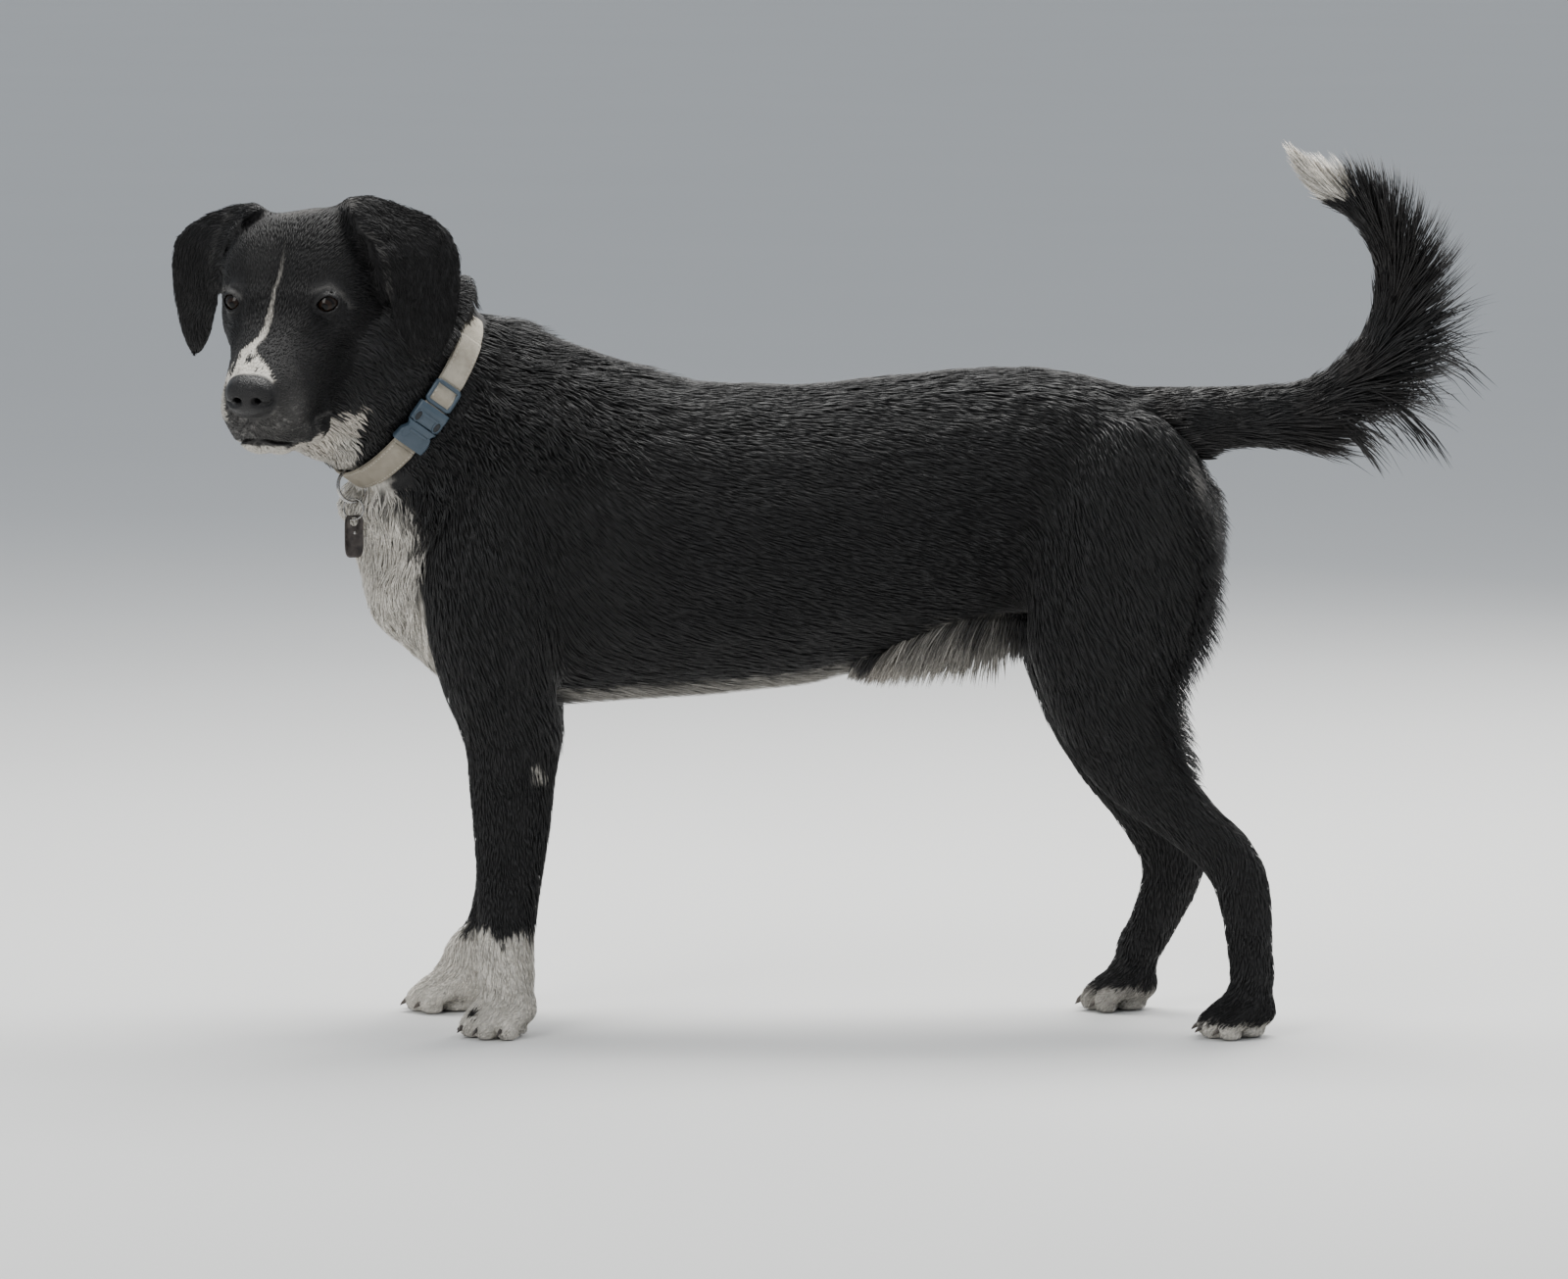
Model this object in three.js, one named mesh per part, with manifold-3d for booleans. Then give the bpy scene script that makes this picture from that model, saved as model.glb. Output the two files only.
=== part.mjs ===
// A standing medium-large dog with hanging ears, a plumed tail and a collar, at life size.
// Millimetres, +Z up. The dog faces -X, its left side is at -Y, and it stands on z = 0.
// Each named part of the body is a solid of its own. Its surface is the outside of the coat.
import * as THREE from 'three';
import { LoftGeometry } from 'three/addons/geometries/LoftGeometry.js';
import { mergeVertices } from 'three/addons/utils/BufferGeometryUtils.js';
import Module from 'manifold-3d';

const wasm = await Module();
wasm.setup();

// ---- Driving dimensions ----

const GAP = 0.3; // clear space between neighbouring parts
const CLEAR = 0.6; // how much more a cut takes where two rounded parts meet
const SQUARE = 2.2; // how far the sections of the body swell past an ellipse
const DOME_RINGS = 3; // sections that close a rounded end
const LEFT = -1;
const RIGHT = 1;
const SIDEWAYS = new THREE.Vector3(0, 1, 0);
const BACKWARDS = new THREE.Vector3(1, 0, 0);

// Rows give a section's centre x, y, z, then its half width, and its reach up (or back on
// a leg) and down (or forward on a leg) from that centre.
const TRUNK = [
  [-342, 0, 386, 46, 62, 52],
  [-314, 0, 402, 74, 104, 90],
  [-270, 0, 416, 90, 178, 142],
  [-215, 0, 420, 97, 176, 152],
  [-160, 0, 420, 102, 158, 148],
  [-85, 0, 414, 104, 143, 138],
  [15, 0, 416, 101, 137, 130],
  [100, 0, 430, 93, 132, 123],
  [170, 0, 446, 84, 122, 110],
  [235, 0, 452, 80, 114, 104],
  [295, 0, 452, 73, 96, 92],
  [342, 0, 440, 60, 74, 74],
  [362, 0, 428, 40, 46, 50],
];
const TRUNK_DOMES = [16, 12];

// The neck runs from inside the head down to the shoulders.
const NECK = [
  [-398, -92, 588, 56, 62, 84],
  [-376, -76, 576, 66, 92, 92],
  [-346, -46, 557, 70, 113, 92],
  [-333, -38, 547, 67, 110, 86],
  [-320.5, -30, 537, 64, 88, 80],
  [-306, -23, 523, 68, 108, 98],
  [-285, -14, 500, 78, 127, 120],
  [-255, -4, 470, 88, 138, 132],
  [-222, 0, 440, 82, 132, 112],
];
const NECK_DOMES = [8, 30];

// The cut between the neck and the trunk runs from the withers to the front of the chest.
const NECK_CUT = { through: [-296, 0, 500], normal: [-0.85, 0, 0.53] };

// The skull and muzzle, in the frame of the head: +X to the dog's right, +Y out of its nose
// and +Z up, from a point midway between the eyes.
const HEAD = [
  [0, 100, -45, 16, 18, 20],
  [0, 96, -46, 26, 28, 31],
  [0, 88, -48, 30, 34, 43],
  [0, 75, -49, 33, 39, 49],
  [0, 60, -48, 35.5, 41, 54],
  [0, 45, -46, 38, 43, 60],
  [0, 32, -42, 41, 45, 66],
  [0, 20, -37, 45, 45, 73],
  [0, 10, -33, 48, 48, 80],
  [0, 0, -30, 51, 55, 88],
  [0, -12, -25, 58, 64, 96],
  [0, -28, -20, 66, 73, 102],
  [0, -48, -15, 71, 76, 104],
  [0, -70, -10, 71, 72, 98],
  [0, -90, -6, 62, 61, 84],
  [0, -105, -4, 48, 46, 62],
];
const HEAD_DOMES = [3, 12];
const HEAD_PLACE = new THREE.Vector3(-419.6, -140, 622.8);
const HEAD_TURN = THREE.MathUtils.degToRad(163.3); // from looking along +Y to just off -Y
const HEAD_NOD = THREE.MathUtils.degToRad(-22);

const EYE_RADIUS = 11.5;
const EYE_PLACE = [39, -8, 0];
const EYE_GAZE = [0.35, 0.88, 0.3]; // the way out of the right eye's socket
const SOCKET_RADIUS = 9.5;
const NOSE_PLACE = [0, 93, -35];
const NOSE_HALF = [20, 13, 16];

// The line of the closed mouth and the back of the lower jaw, as Y and Z in the head's frame.
const MOUTH_LINE = [[130, -68], [98, -68], [60, -79], [34, -96], [16, -102], [2, -150], [130, -150]];

// Rows of an ear from its root to its tip, in the frame of the head: the front edge, then the
// back edge. X is counted outwards. The left ear leans forward, as the neck lies behind it.
const LEFT_EAR = [
  [[26, -66, 46], [44, -92, 42]],
  [[38, -68, 61], [58, -92, 57]],
  [[53, -62, 55], [86, -98, 49]],
  [[62, -56, 46], [108, -98, 42]],
  [[73, -48, 30], [129, -90, 30]],
  [[78, -44, 9], [139, -80, 10]],
  [[79, -40, -16], [138, -68, -17]],
  [[82, -36, -36], [134, -55, -40]],
  [[89, -34, -55], [125, -45, -57]],
  [[101, -36, -67], [113, -39, -68]],
];
const RIGHT_EAR = [
  [[26, -66, 48], [40, -98, 38]],
  [[32, -62, 60], [53, -100, 49]],
  [[41, -54, 54], [88, -97, 41]],
  [[48, -50, 40], [115, -92, 28]],
  [[58, -50, 20], [127, -88, 10]],
  [[69, -52, -7], [129, -84, -19]],
  [[79, -56, -33], [126, -80, -47]],
  [[91, -62, -60], [121, -76, -70]],
  [[104, -68, -78], [114, -73, -83]],
];
const EAR_THICKNESS = 8;
const EAR_BULGE = 8;

// The tail's plume hangs from the outer side of its curve, which the last column reaches.
const TAIL = [
  [268, 0, 508, 34, 36, 36],
  [330, 0, 514, 30, 31, 31],
  [392, 0, 520, 25, 25, 30],
  [440, 0, 527, 24, 22, 40],
  [474, 0, 546, 25, 21, 68],
  [500, 0, 573, 27, 19, 76],
  [512, 0, 606, 28, 17, 74],
  [514, 0, 640, 28, 15, 74],
  [504, 0, 671, 27, 14, 72],
  [486, 0, 694, 24, 13, 56],
  [463, 0, 710, 19, 12, 34],
  [447, 0, 722, 12, 9, 16],
  [436, 0, 738, 5, 4, 5],
];
const TAIL_DOMES = [6, 5];

// Rows run from the shoulder or hip down to the foot.
const LEFT_FORELEG = [
  [-226, -58, 480, 26, 40, 40],
  [-240, -66, 430, 38, 58, 58],
  [-247, -71, 370, 44, 64, 64],
  [-243, -73, 310, 42, 61, 57],
  [-233, -73, 262, 36, 52, 45],
  [-230, -71, 222, 31, 40, 41],
  [-231, -70, 172, 27, 35, 35],
  [-233, -70, 125, 24, 29, 30],
  [-235, -71, 90, 25, 26.5, 27],
  [-236, -72, 62, 24, 24.5, 25],
  [-238, -73, 36, 25, 23, 24],
];
const RIGHT_FORELEG = [
  [-226, 58, 480, 26, 40, 40],
  [-240, 66, 430, 38, 58, 58],
  [-247, 71, 370, 44, 64, 64],
  [-243, 73, 310, 42, 61, 57],
  [-233, 73, 262, 36, 52, 45],
  [-231, 71, 222, 31, 40, 41],
  [-235, 70, 172, 27, 35, 33],
  [-240, 70, 125, 24, 29, 28],
  [-246, 71, 92, 25, 26.5, 25],
  [-259, 72, 62, 24, 24, 22],
  [-272, 73, 38, 25, 22, 20],
];
const LEFT_HIND_LEG = [
  [300, -46, 512, 32, 40, 44],
  [292, -54, 462, 42, 74, 78],
  [286, -58, 400, 44, 90, 88],
  [278, -62, 345, 43, 86, 84],
  [280, -68, 296, 38, 64, 70],
  [297, -72, 252, 33, 46, 59],
  [322, -74, 214, 29, 31, 44],
  [350, -75, 182, 25, 22, 32],
  [380, -76, 150, 23, 26, 30],
  [392, -77, 114, 21, 24, 28],
  [394, -78, 78, 20, 22, 24],
  [396, -79, 42, 21, 19, 20],
];
const RIGHT_HIND_LEG = [
  [292, 46, 512, 32, 40, 44],
  [284, 54, 462, 42, 74, 78],
  [276, 58, 400, 44, 88, 88],
  [264, 62, 345, 43, 84, 80],
  [262, 68, 296, 38, 62, 62],
  [272, 72, 252, 33, 46, 48],
  [292, 74, 214, 29, 34, 40],
  [318, 75, 180, 25, 28, 39],
  [340, 76, 144, 23, 28, 42],
  [334, 77, 108, 21, 26, 31],
  [318, 78, 75, 20, 23, 25],
  [302, 79, 42, 21, 20, 21],
];
const FORELEG_SPLIT = [0.45, 0.82]; // shares of the leg where its lengths part
const HIND_LEG_SPLIT = [0.42, 0.7];
const LEG_RINGS = [7, 6, 5];
const LEG_SIDES = 10;
const LEG_DOME = 20;
const SPLIT_GAP = 0.0012; // the share of a limb that parts two of its lengths

// Paws: the middle of the sole, how many degrees the toes turn out, and their length.
const PAWS = {
  fore_left: { at: [-238, -77], turn: -42, long: 1.0 },
  fore_right: { at: [-288, 74], turn: 4, long: 1.0 },
  hind_left: { at: [386, -81], turn: -6, long: 0.96 },
  hind_right: { at: [292, 80], turn: 5, long: 0.96 },
};
const PAW_BODY = { at: [-4, 0, 17], half: [31, 26, 21] };
const INNER_TOE = { at: [20, 11, 13], half: [18, 10.5, 14.5] };
const OUTER_TOE = { at: [8, 23, 11.5], half: [18, 9.5, 13] };

const SHEATH_TUFT = { at: [138, 0, 319], half: [72, 22, 26] };

// The collar lies in a plane across the neck. Its band is oval, with a flatter throat side.
const COLLAR_CENTRE = new THREE.Vector3(-320.5, -30, 537);
const COLLAR_NAPE = new THREE.Vector3(0.602, 0, 0.798);
const COLLAR_AXIS = new THREE.Vector3(-0.745, -0.36, 0.562);
const COLLAR_SIDE = new THREE.Vector3().crossVectors(COLLAR_NAPE, COLLAR_AXIS);
const COLLAR_REACH = { nape: 90, throat: 82, side: 66 };
const WEBBING = { width: 23, thick: 2.4 };
const BUCKLE = { from: 81, to: 107, width: 28, thick: 8 };
const ADJUSTER = { from: 67, to: 80, width: 27, thick: 6 };
const BAND_GAP = 0.3; // degrees of the oval between its parts
const GROOVE_DEPTH = 16; // how far out from the band the coat is parted
const GROOVE_GAP = 1; // clear space between the band and the coat
const RING = { radius: 14, wire: 1.5, at: 160, out: 7, facing: [0.51, -0.85, 0.13] };
const SPLIT_RING = { radius: 9, wire: 1.2, facing: [-0.35, -0.937, 0] };
const TAG = { width: 17, height: 36, thick: 1.4, hole: 3.8, rim: 1.8, corner: 5 };
const TAG_FACING = [0.451, -0.893, 0];

// ---- Materials ----

function finish(color, roughness, metalness = 0) {
  return new THREE.MeshStandardMaterial({ color, roughness, metalness });
}

const BLACK_COAT = () => finish(0x1b1c1e, 0.7);
const WHITE_COAT = () => finish(0xd8d2c8, 0.8);
const STEEL = () => finish(0x9c9c9a, 0.3, 1);

// Lengths of the tail as shares of its rows, with their sections and colour.
const TAIL_LENGTHS = [
  ['tail_base', 0, 0.27, 4, BLACK_COAT],
  ['tail_plume', 0.27, 0.82, 10, BLACK_COAT],
  ['tail_tip', 0.82, 1, 4, WHITE_COAT],
];

// ---- Solids ----

// Turns a closed geometry into a solid that can be cut and joined.
function solidOf(geometry) {
  const bare = new THREE.BufferGeometry();
  bare.setAttribute('position', geometry.attributes.position);
  bare.setIndex(geometry.index);
  const merged = mergeVertices(bare, 1e-3);
  const index = Array.from(merged.index.array);
  const whole = [];
  for (let i = 0; i < index.length; i += 3) {
    const [a, b, c] = index.slice(i, i + 3);
    if (a !== b && b !== c && c !== a) whole.push(a, b, c);
  }
  return new wasm.Manifold(new wasm.Mesh({
    numProp: 3,
    vertProperties: new Float32Array(merged.attributes.position.array),
    triVerts: new Uint32Array(whole),
  }));
}

function geometryOf(solid) {
  const { vertProperties, triVerts } = solid.getMesh();
  const geometry = new THREE.BufferGeometry();
  geometry.setAttribute('position', new THREE.Float32BufferAttribute(vertProperties, 3));
  geometry.setIndex(Array.from(triVerts));
  geometry.computeVertexNormals();
  return geometry;
}

function mesh(name, solid, material) {
  const part = new THREE.Mesh(geometryOf(solid), material);
  part.name = name;
  return part;
}

// The biggest body of a solid, without the crumbs that a cut leaves.
function mainBody(solid) {
  const bodies = solid.decompose();
  return bodies.reduce((best, body) => (body.volume() > best.volume() ? body : best));
}

// A value raised to a power with its sign kept.
const signedPower = (value, power) => Math.sign(value) * Math.abs(value) ** power;

// A smooth curve through three columns of a table's rows.
function curveOf(rows, column) {
  const points = rows.map((row) => new THREE.Vector3(...row.slice(column, column + 3)));
  return new THREE.CatmullRomCurve3(points, false, 'catmullrom');
}

// Rings along the rows of a table, from share t0 to share t1 of its length, all grown outwards.
// Domes are the lengths of the rounded ends, and 0 leaves a flat end. The rings stand square
// to the line through their centres, or all face one way where facing gives it.
function loft(rows, { t0 = 0, t1 = 1, rings = 20, sides = 14, grow = 0, domes = [0, 0],
  across = SIDEWAYS, square = SQUARE, facing = null }) {
  const spine = curveOf(rows, 0);
  const sizes = curveOf(rows, 3);

  const ring = (t, shift, scale) => {
    const along = facing ?? spine.getTangent(t);
    const centre = spine.getPoint(t).addScaledVector(along, shift);
    const side = across.clone().addScaledVector(along, -across.dot(along)).normalize();
    const up = new THREE.Vector3().crossVectors(along, side);
    const size = sizes.getPoint(t).addScalar(grow).multiplyScalar(scale);
    return Array.from({ length: sides }, (_, k) => {
      const angle = (k + 0.5) / sides * 2 * Math.PI;
      const reach = Math.sin(angle) > 0 ? size.y : size.z;
      return centre.clone()
        .addScaledVector(side, size.x * signedPower(Math.cos(angle), 2 / square))
        .addScaledVector(up, reach * signedPower(Math.sin(angle), 2 / square));
    });
  };
  const dome = (t, length, sign) => Array.from({ length: DOME_RINGS }, (_, k) => {
    const angle = (k + 1) / (DOME_RINGS + 0.35) * Math.PI / 2;
    return ring(t, sign * (length + grow) * Math.sin(angle), Math.cos(angle));
  });

  const sections = domes[0] ? dome(t0, domes[0], -1).reverse() : [];
  for (let i = 0; i <= rings; i += 1) sections.push(ring(t0 + (t1 - t0) * i / rings, 0, 1));
  if (domes[1]) sections.push(...dome(t1, domes[1], 1));
  return solidOf(new LoftGeometry(sections, { capStart: true, capEnd: true }));
}

function ellipsoid({ at, half }, grow = 0, columns = 10, rows = 6) {
  const ball = new THREE.SphereGeometry(1, columns, rows);
  ball.scale(half[0] + grow, half[1] + grow, half[2] + grow);
  ball.translate(...at);
  return solidOf(ball);
}

// Everything on the side of a plane that its normal points to.
function halfSpace(through, normal, shift = 0) {
  const size = 3000;
  const box = new THREE.BoxGeometry(size, size, size);
  box.translate(0, 0, size / 2 + shift);
  const facing = new THREE.Vector3(...normal).normalize();
  box.applyQuaternion(new THREE.Quaternion().setFromUnitVectors(new THREE.Vector3(0, 0, 1), facing));
  box.translate(...through);
  return solidOf(box);
}

// ---- Head ----

const headFrame = new THREE.Group();
headFrame.position.copy(HEAD_PLACE);
headFrame.rotation.set(HEAD_NOD, 0, HEAD_TURN, 'ZXY');
headFrame.updateMatrixWorld(true);

const HEAD_SHAPE = {
  rings: 12,
  sides: 16,
  domes: HEAD_DOMES,
  across: new THREE.Vector3(1, 0, 0),
  facing: new THREE.Vector3(0, -1, 0),
  square: 2.3,
};
const headLoft = (grow) => loft(HEAD, { ...HEAD_SHAPE, grow });

// The space of the lower jaw, as wide as the head.
function jawPrism(grow) {
  const outline = new THREE.Shape();
  MOUTH_LINE.forEach(([y, z], i) => {
    if (i === 0) outline.moveTo(y, z + grow);
    else outline.lineTo(y - grow, z + grow);
  });
  outline.closePath();
  const prism = new THREE.ExtrudeGeometry(outline, { depth: 200, bevelEnabled: false });
  prism.translate(0, 0, -100);
  prism.applyMatrix4(new THREE.Matrix4().makeBasis(new THREE.Vector3(0, 1, 0),
    new THREE.Vector3(0, 0, 1), new THREE.Vector3(1, 0, 0)));
  return solidOf(prism);
}

function eyeBall(side, grow = 0) {
  const at = [side * EYE_PLACE[0], EYE_PLACE[1], EYE_PLACE[2]];
  const radius = EYE_RADIUS + grow;
  return ellipsoid({ at, half: [radius, radius, radius] }, 0, 10, 7);
}

// The eyeball with the opening of the lids in front of it.
function eyeSocket(side) {
  const gaze = new THREE.Vector3(side * EYE_GAZE[0], EYE_GAZE[1], EYE_GAZE[2]).normalize();
  const opening = new THREE.CylinderGeometry(SOCKET_RADIUS * 1.15, SOCKET_RADIUS, 30, 12);
  opening.translate(0, 15, 0);
  opening.applyQuaternion(new THREE.Quaternion().setFromUnitVectors(THREE.Object3D.DEFAULT_UP, gaze));
  opening.translate(side * EYE_PLACE[0], EYE_PLACE[1], EYE_PLACE[2]);
  return eyeBall(side, GAP).add(solidOf(opening));
}

// One ear as a thin bent leaf. Its section is a lens between a front and a back edge.
function ear(rows, side, grow = 0) {
  const columns = 8;
  const steps = 11;
  const edge = (which) => new THREE.CatmullRomCurve3(
    rows.map((row) => new THREE.Vector3(side * row[which][0], row[which][1], row[which][2])),
    false, 'catmullrom');
  const [front, back] = [edge(0), edge(1)];
  const sections = [];
  for (let i = 0; i <= steps; i += 1) {
    const t = i / steps;
    const middle = front.getPoint(t).add(back.getPoint(t)).multiplyScalar(0.5);
    const chord = back.getPoint(t).sub(front.getPoint(t));
    const half = chord.length() / 2 + grow;
    chord.normalize();
    const down = front.getTangent(t).add(back.getTangent(t)).normalize();
    const out = new THREE.Vector3().crossVectors(down, chord).multiplyScalar(side).normalize();
    const taper = Math.min(1, half / 14);
    sections.push(Array.from({ length: columns }, (_, k) => {
      const angle = side * (k + 0.5) / columns * 2 * Math.PI;
      const along = Math.cos(angle);
      const bulge = EAR_BULGE * taper * Math.sin(Math.PI * Math.min(1, 0.2 + t));
      const thick = (EAR_THICKNESS / 2 * taper + grow) * Math.sin(angle);
      return middle.clone().addScaledVector(chord, half * along)
        .addScaledVector(out, thick + bulge * (1 - along * along));
    }));
  }
  return solidOf(new LoftGeometry(sections, { capStart: true, capEnd: true }));
}

const noseLeather = (grow) => ellipsoid({ at: NOSE_PLACE, half: NOSE_HALF }, grow);
const wholeHead = headLoft(0).subtract(noseLeather(GAP))
  .subtract(eyeSocket(LEFT)).subtract(eyeSocket(RIGHT));
const EARS = [['left', LEFT, LEFT_EAR], ['right', RIGHT, RIGHT_EAR]];

headFrame.add(mesh('head', wholeHead.subtract(jawPrism(GAP)), BLACK_COAT()));
headFrame.add(mesh('lower_jaw', wholeHead.intersect(jawPrism(0)), WHITE_COAT()));
headFrame.add(mesh('nose', noseLeather(0), finish(0x161415, 0.35)));
for (const [name, side, rows] of EARS) {
  headFrame.add(mesh(`eye_${name}`, eyeBall(side), finish(0x21140c, 0.08)));
  const leaf = ear(rows, side).subtract(headLoft(GAP));
  headFrame.add(mesh(`ear_${name}`, mainBody(leaf), BLACK_COAT()));
}

// A solid of the head's frame carried into the frame of the body.
const inBody = (solid) => solidOf(geometryOf(solid).applyMatrix4(headFrame.matrixWorld));

// ---- Collar ----

// A point on the oval of the collar. The angle runs from the nape over the dog's left side.
function onCollar(degrees, outward = 0, along = 0) {
  const angle = THREE.MathUtils.degToRad(degrees);
  const nape = Math.cos(angle);
  const reach = (nape > 0 ? COLLAR_REACH.nape : COLLAR_REACH.throat) + outward;
  return COLLAR_CENTRE.clone()
    .addScaledVector(COLLAR_NAPE, reach * nape)
    .addScaledVector(COLLAR_SIDE, (COLLAR_REACH.side + outward) * Math.sin(angle))
    .addScaledVector(COLLAR_AXIS, along);
}

// A strip of the oval with a flat section, given by its two angles, width and thickness.
function strip({ from, to, width, thick }, grow = 0, steps = 5) {
  const sections = [];
  const extra = THREE.MathUtils.radToDeg(grow / COLLAR_REACH.side);
  const [inner, outer, half] = [-grow, thick + grow, width / 2 + grow];
  for (let i = 0; i <= steps; i += 1) {
    const degrees = from - extra + (to - from + 2 * extra) * i / steps;
    sections.push([onCollar(degrees, outer, -half), onCollar(degrees, outer, half),
      onCollar(degrees, inner, half), onCollar(degrees, inner, -half)]);
  }
  return solidOf(new LoftGeometry(sections, { capStart: true, capEnd: true }));
}

function wireRing({ radius, wire, facing }, centre, grow = 0) {
  const torus = new THREE.TorusGeometry(radius, wire + grow, 5, 14);
  const turn = new THREE.Quaternion()
    .setFromUnitVectors(new THREE.Vector3(0, 0, 1), new THREE.Vector3(...facing).normalize());
  torus.applyQuaternion(turn);
  torus.translate(centre.x, centre.y, centre.z);
  return solidOf(torus);
}

// The ring hangs on the band, the split ring from the ring's lowest point, and the tag on that.
const HANG = new THREE.Vector3(0, 0, -1);
const ringCentre = onCollar(RING.at, RING.out);
const ringFacing = new THREE.Vector3(...RING.facing);
const hangInRing = HANG.clone().addScaledVector(ringFacing, -HANG.dot(ringFacing)).normalize();
const splitDrop = SPLIT_RING.radius - RING.wire - SPLIT_RING.wire - 2 * GAP;
const splitCentre = ringCentre.clone()
  .addScaledVector(hangInRing, RING.radius).addScaledVector(HANG, splitDrop);
const tagCentre = splitCentre.clone()
  .addScaledVector(HANG, SPLIT_RING.radius + TAG.hole - SPLIT_RING.wire - 3 * GAP);
const ring = (grow) => wireRing(RING, ringCentre, grow);
const splitRing = (grow) => wireRing(SPLIT_RING, splitCentre, grow);

function tagPlate(grow = 0) {
  const outline = new THREE.Shape();
  const half = TAG.width / 2 + grow;
  const low = -TAG.height - grow;
  outline.moveTo(half, grow - half);
  outline.absarc(0, grow - half, half, 0, Math.PI);
  outline.lineTo(-half, low + TAG.corner);
  outline.lineTo(-half + TAG.corner, low);
  outline.lineTo(half - TAG.corner, low);
  outline.lineTo(half, low + TAG.corner);
  outline.closePath();
  if (!grow) {
    const hole = new THREE.Path();
    hole.absarc(0, -TAG.hole - TAG.rim, TAG.hole, 0, 2 * Math.PI, true);
    outline.holes.push(hole);
  }
  const thick = TAG.thick + 2 * grow;
  const plate = new THREE.ExtrudeGeometry(outline,
    { depth: thick, bevelEnabled: false, curveSegments: 6 });
  const face = new THREE.Vector3(...TAG_FACING).normalize();
  const upward = HANG.clone().negate();
  plate.translate(0, TAG.hole + TAG.rim, -thick / 2);
  plate.applyMatrix4(new THREE.Matrix4()
    .makeBasis(new THREE.Vector3().crossVectors(upward, face), upward, face));
  plate.translate(tagCentre.x, tagCentre.y, tagCentre.z);
  return solidOf(plate);
}

const BAND = { ...WEBBING, from: BUCKLE.to + BAND_GAP, to: 360 + ADJUSTER.from - BAND_GAP };
const withoutRings = (solid) => solid.subtract(ring(GAP)).subtract(splitRing(GAP));
const collarGroove = strip({ ...WEBBING, thick: GROOVE_DEPTH, from: 0, to: 359.9 }, GROOVE_GAP, 26)
  .add(strip({ ...BUCKLE, thick: GROOVE_DEPTH }, GROOVE_GAP))
  .add(strip({ ...ADJUSTER, thick: GROOVE_DEPTH }, GROOVE_GAP, 3)).add(tagPlate(GAP));

const dog = new THREE.Group();
dog.add(mesh('collar_band', withoutRings(strip(BAND, 0, 26)), finish(0xcfc8ad, 0.85)));
dog.add(mesh('collar_buckle', strip(BUCKLE), finish(0x6f8494, 0.45)));
dog.add(mesh('collar_adjuster', strip(ADJUSTER, 0, 3), finish(0x6f8494, 0.45)));
dog.add(mesh('collar_ring', ring(0), STEEL()));
dog.add(mesh('collar_split_ring', splitRing(0), STEEL()));
dog.add(mesh('collar_tag', tagPlate(), finish(0x4a4640, 0.5)));

// ---- Tail ----

const tailLoft = (t0, t1, rings, domes, grow = 0) => loft(TAIL,
  { t0, t1, rings, sides: 12, domes, grow, square: 2 });
TAIL_LENGTHS.forEach(([name, t0, t1, rings, color], i) => {
  const start = t0 + (i > 0 ? SPLIT_GAP : 0);
  const end = t1 - (i < 2 ? SPLIT_GAP : 0);
  const domes = [i === 0 ? TAIL_DOMES[0] : 0, i === 2 ? TAIL_DOMES[1] : 0];
  dog.add(mesh(name, tailLoft(start, end, rings, domes), color()));
});
const tailCutter = tailLoft(0, TAIL_LENGTHS[0][2], 4, [TAIL_DOMES[0], 0], GAP);

// ---- Legs ----

function paw({ at, turn, long }, grow = 0) {
  let solid = ellipsoid(PAW_BODY, grow, 8, 5);
  for (const side of [LEFT, RIGHT]) {
    for (const toe of [INNER_TOE, OUTER_TOE]) {
      const place = [toe.at[0], side * toe.at[1], toe.at[2]];
      solid = solid.add(ellipsoid({ at: place, half: toe.half }, grow, 6, 4));
    }
  }
  const geometry = geometryOf(solid.subtract(halfSpace([0, 0, 0], [0, 0, -1])));
  geometry.scale(long, 1, 1);
  geometry.rotateZ(Math.PI - THREE.MathUtils.degToRad(turn));
  geometry.translate(at[0], at[1], 0);
  return solidOf(geometry);
}

const LEGS = [
  ['fore_left', LEFT_FORELEG, FORELEG_SPLIT, ['shoulder', 'forearm', 'pastern']],
  ['fore_right', RIGHT_FORELEG, FORELEG_SPLIT, ['shoulder', 'forearm', 'pastern']],
  ['hind_left', LEFT_HIND_LEG, HIND_LEG_SPLIT, ['thigh', 'shank', 'hock']],
  ['hind_right', RIGHT_HIND_LEG, HIND_LEG_SPLIT, ['thigh', 'shank', 'hock']],
];
const legCutters = [];
for (const [name, rows, split, parts] of LEGS) {
  const ends = [0, ...split, 1];
  parts.forEach((part, i) => {
    const t0 = ends[i] + (i > 0 ? SPLIT_GAP : 0);
    const t1 = ends[i + 1] - (i < 2 ? SPLIT_GAP : 0);
    const shape = { t0, t1, rings: LEG_RINGS[i], sides: LEG_SIDES, domes: [i ? 0 : LEG_DOME, 0] };
    if (i < 2) legCutters.push(loft(rows, { ...shape, grow: GAP }));
    const above = i < 2 ? tailCutter : paw(PAWS[name], GAP);
    dog.add(mesh(`${name}_${part}`, mainBody(loft(rows, shape).subtract(above)), BLACK_COAT()));
  });
  dog.add(mesh(`${name}_paw`, paw(PAWS[name]), WHITE_COAT()));
}
const withoutLegs = (solid) => legCutters.reduce((rest, leg) => rest.subtract(leg), solid);

// ---- Neck and trunk, as one body parted by a slanted cut ----

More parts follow.
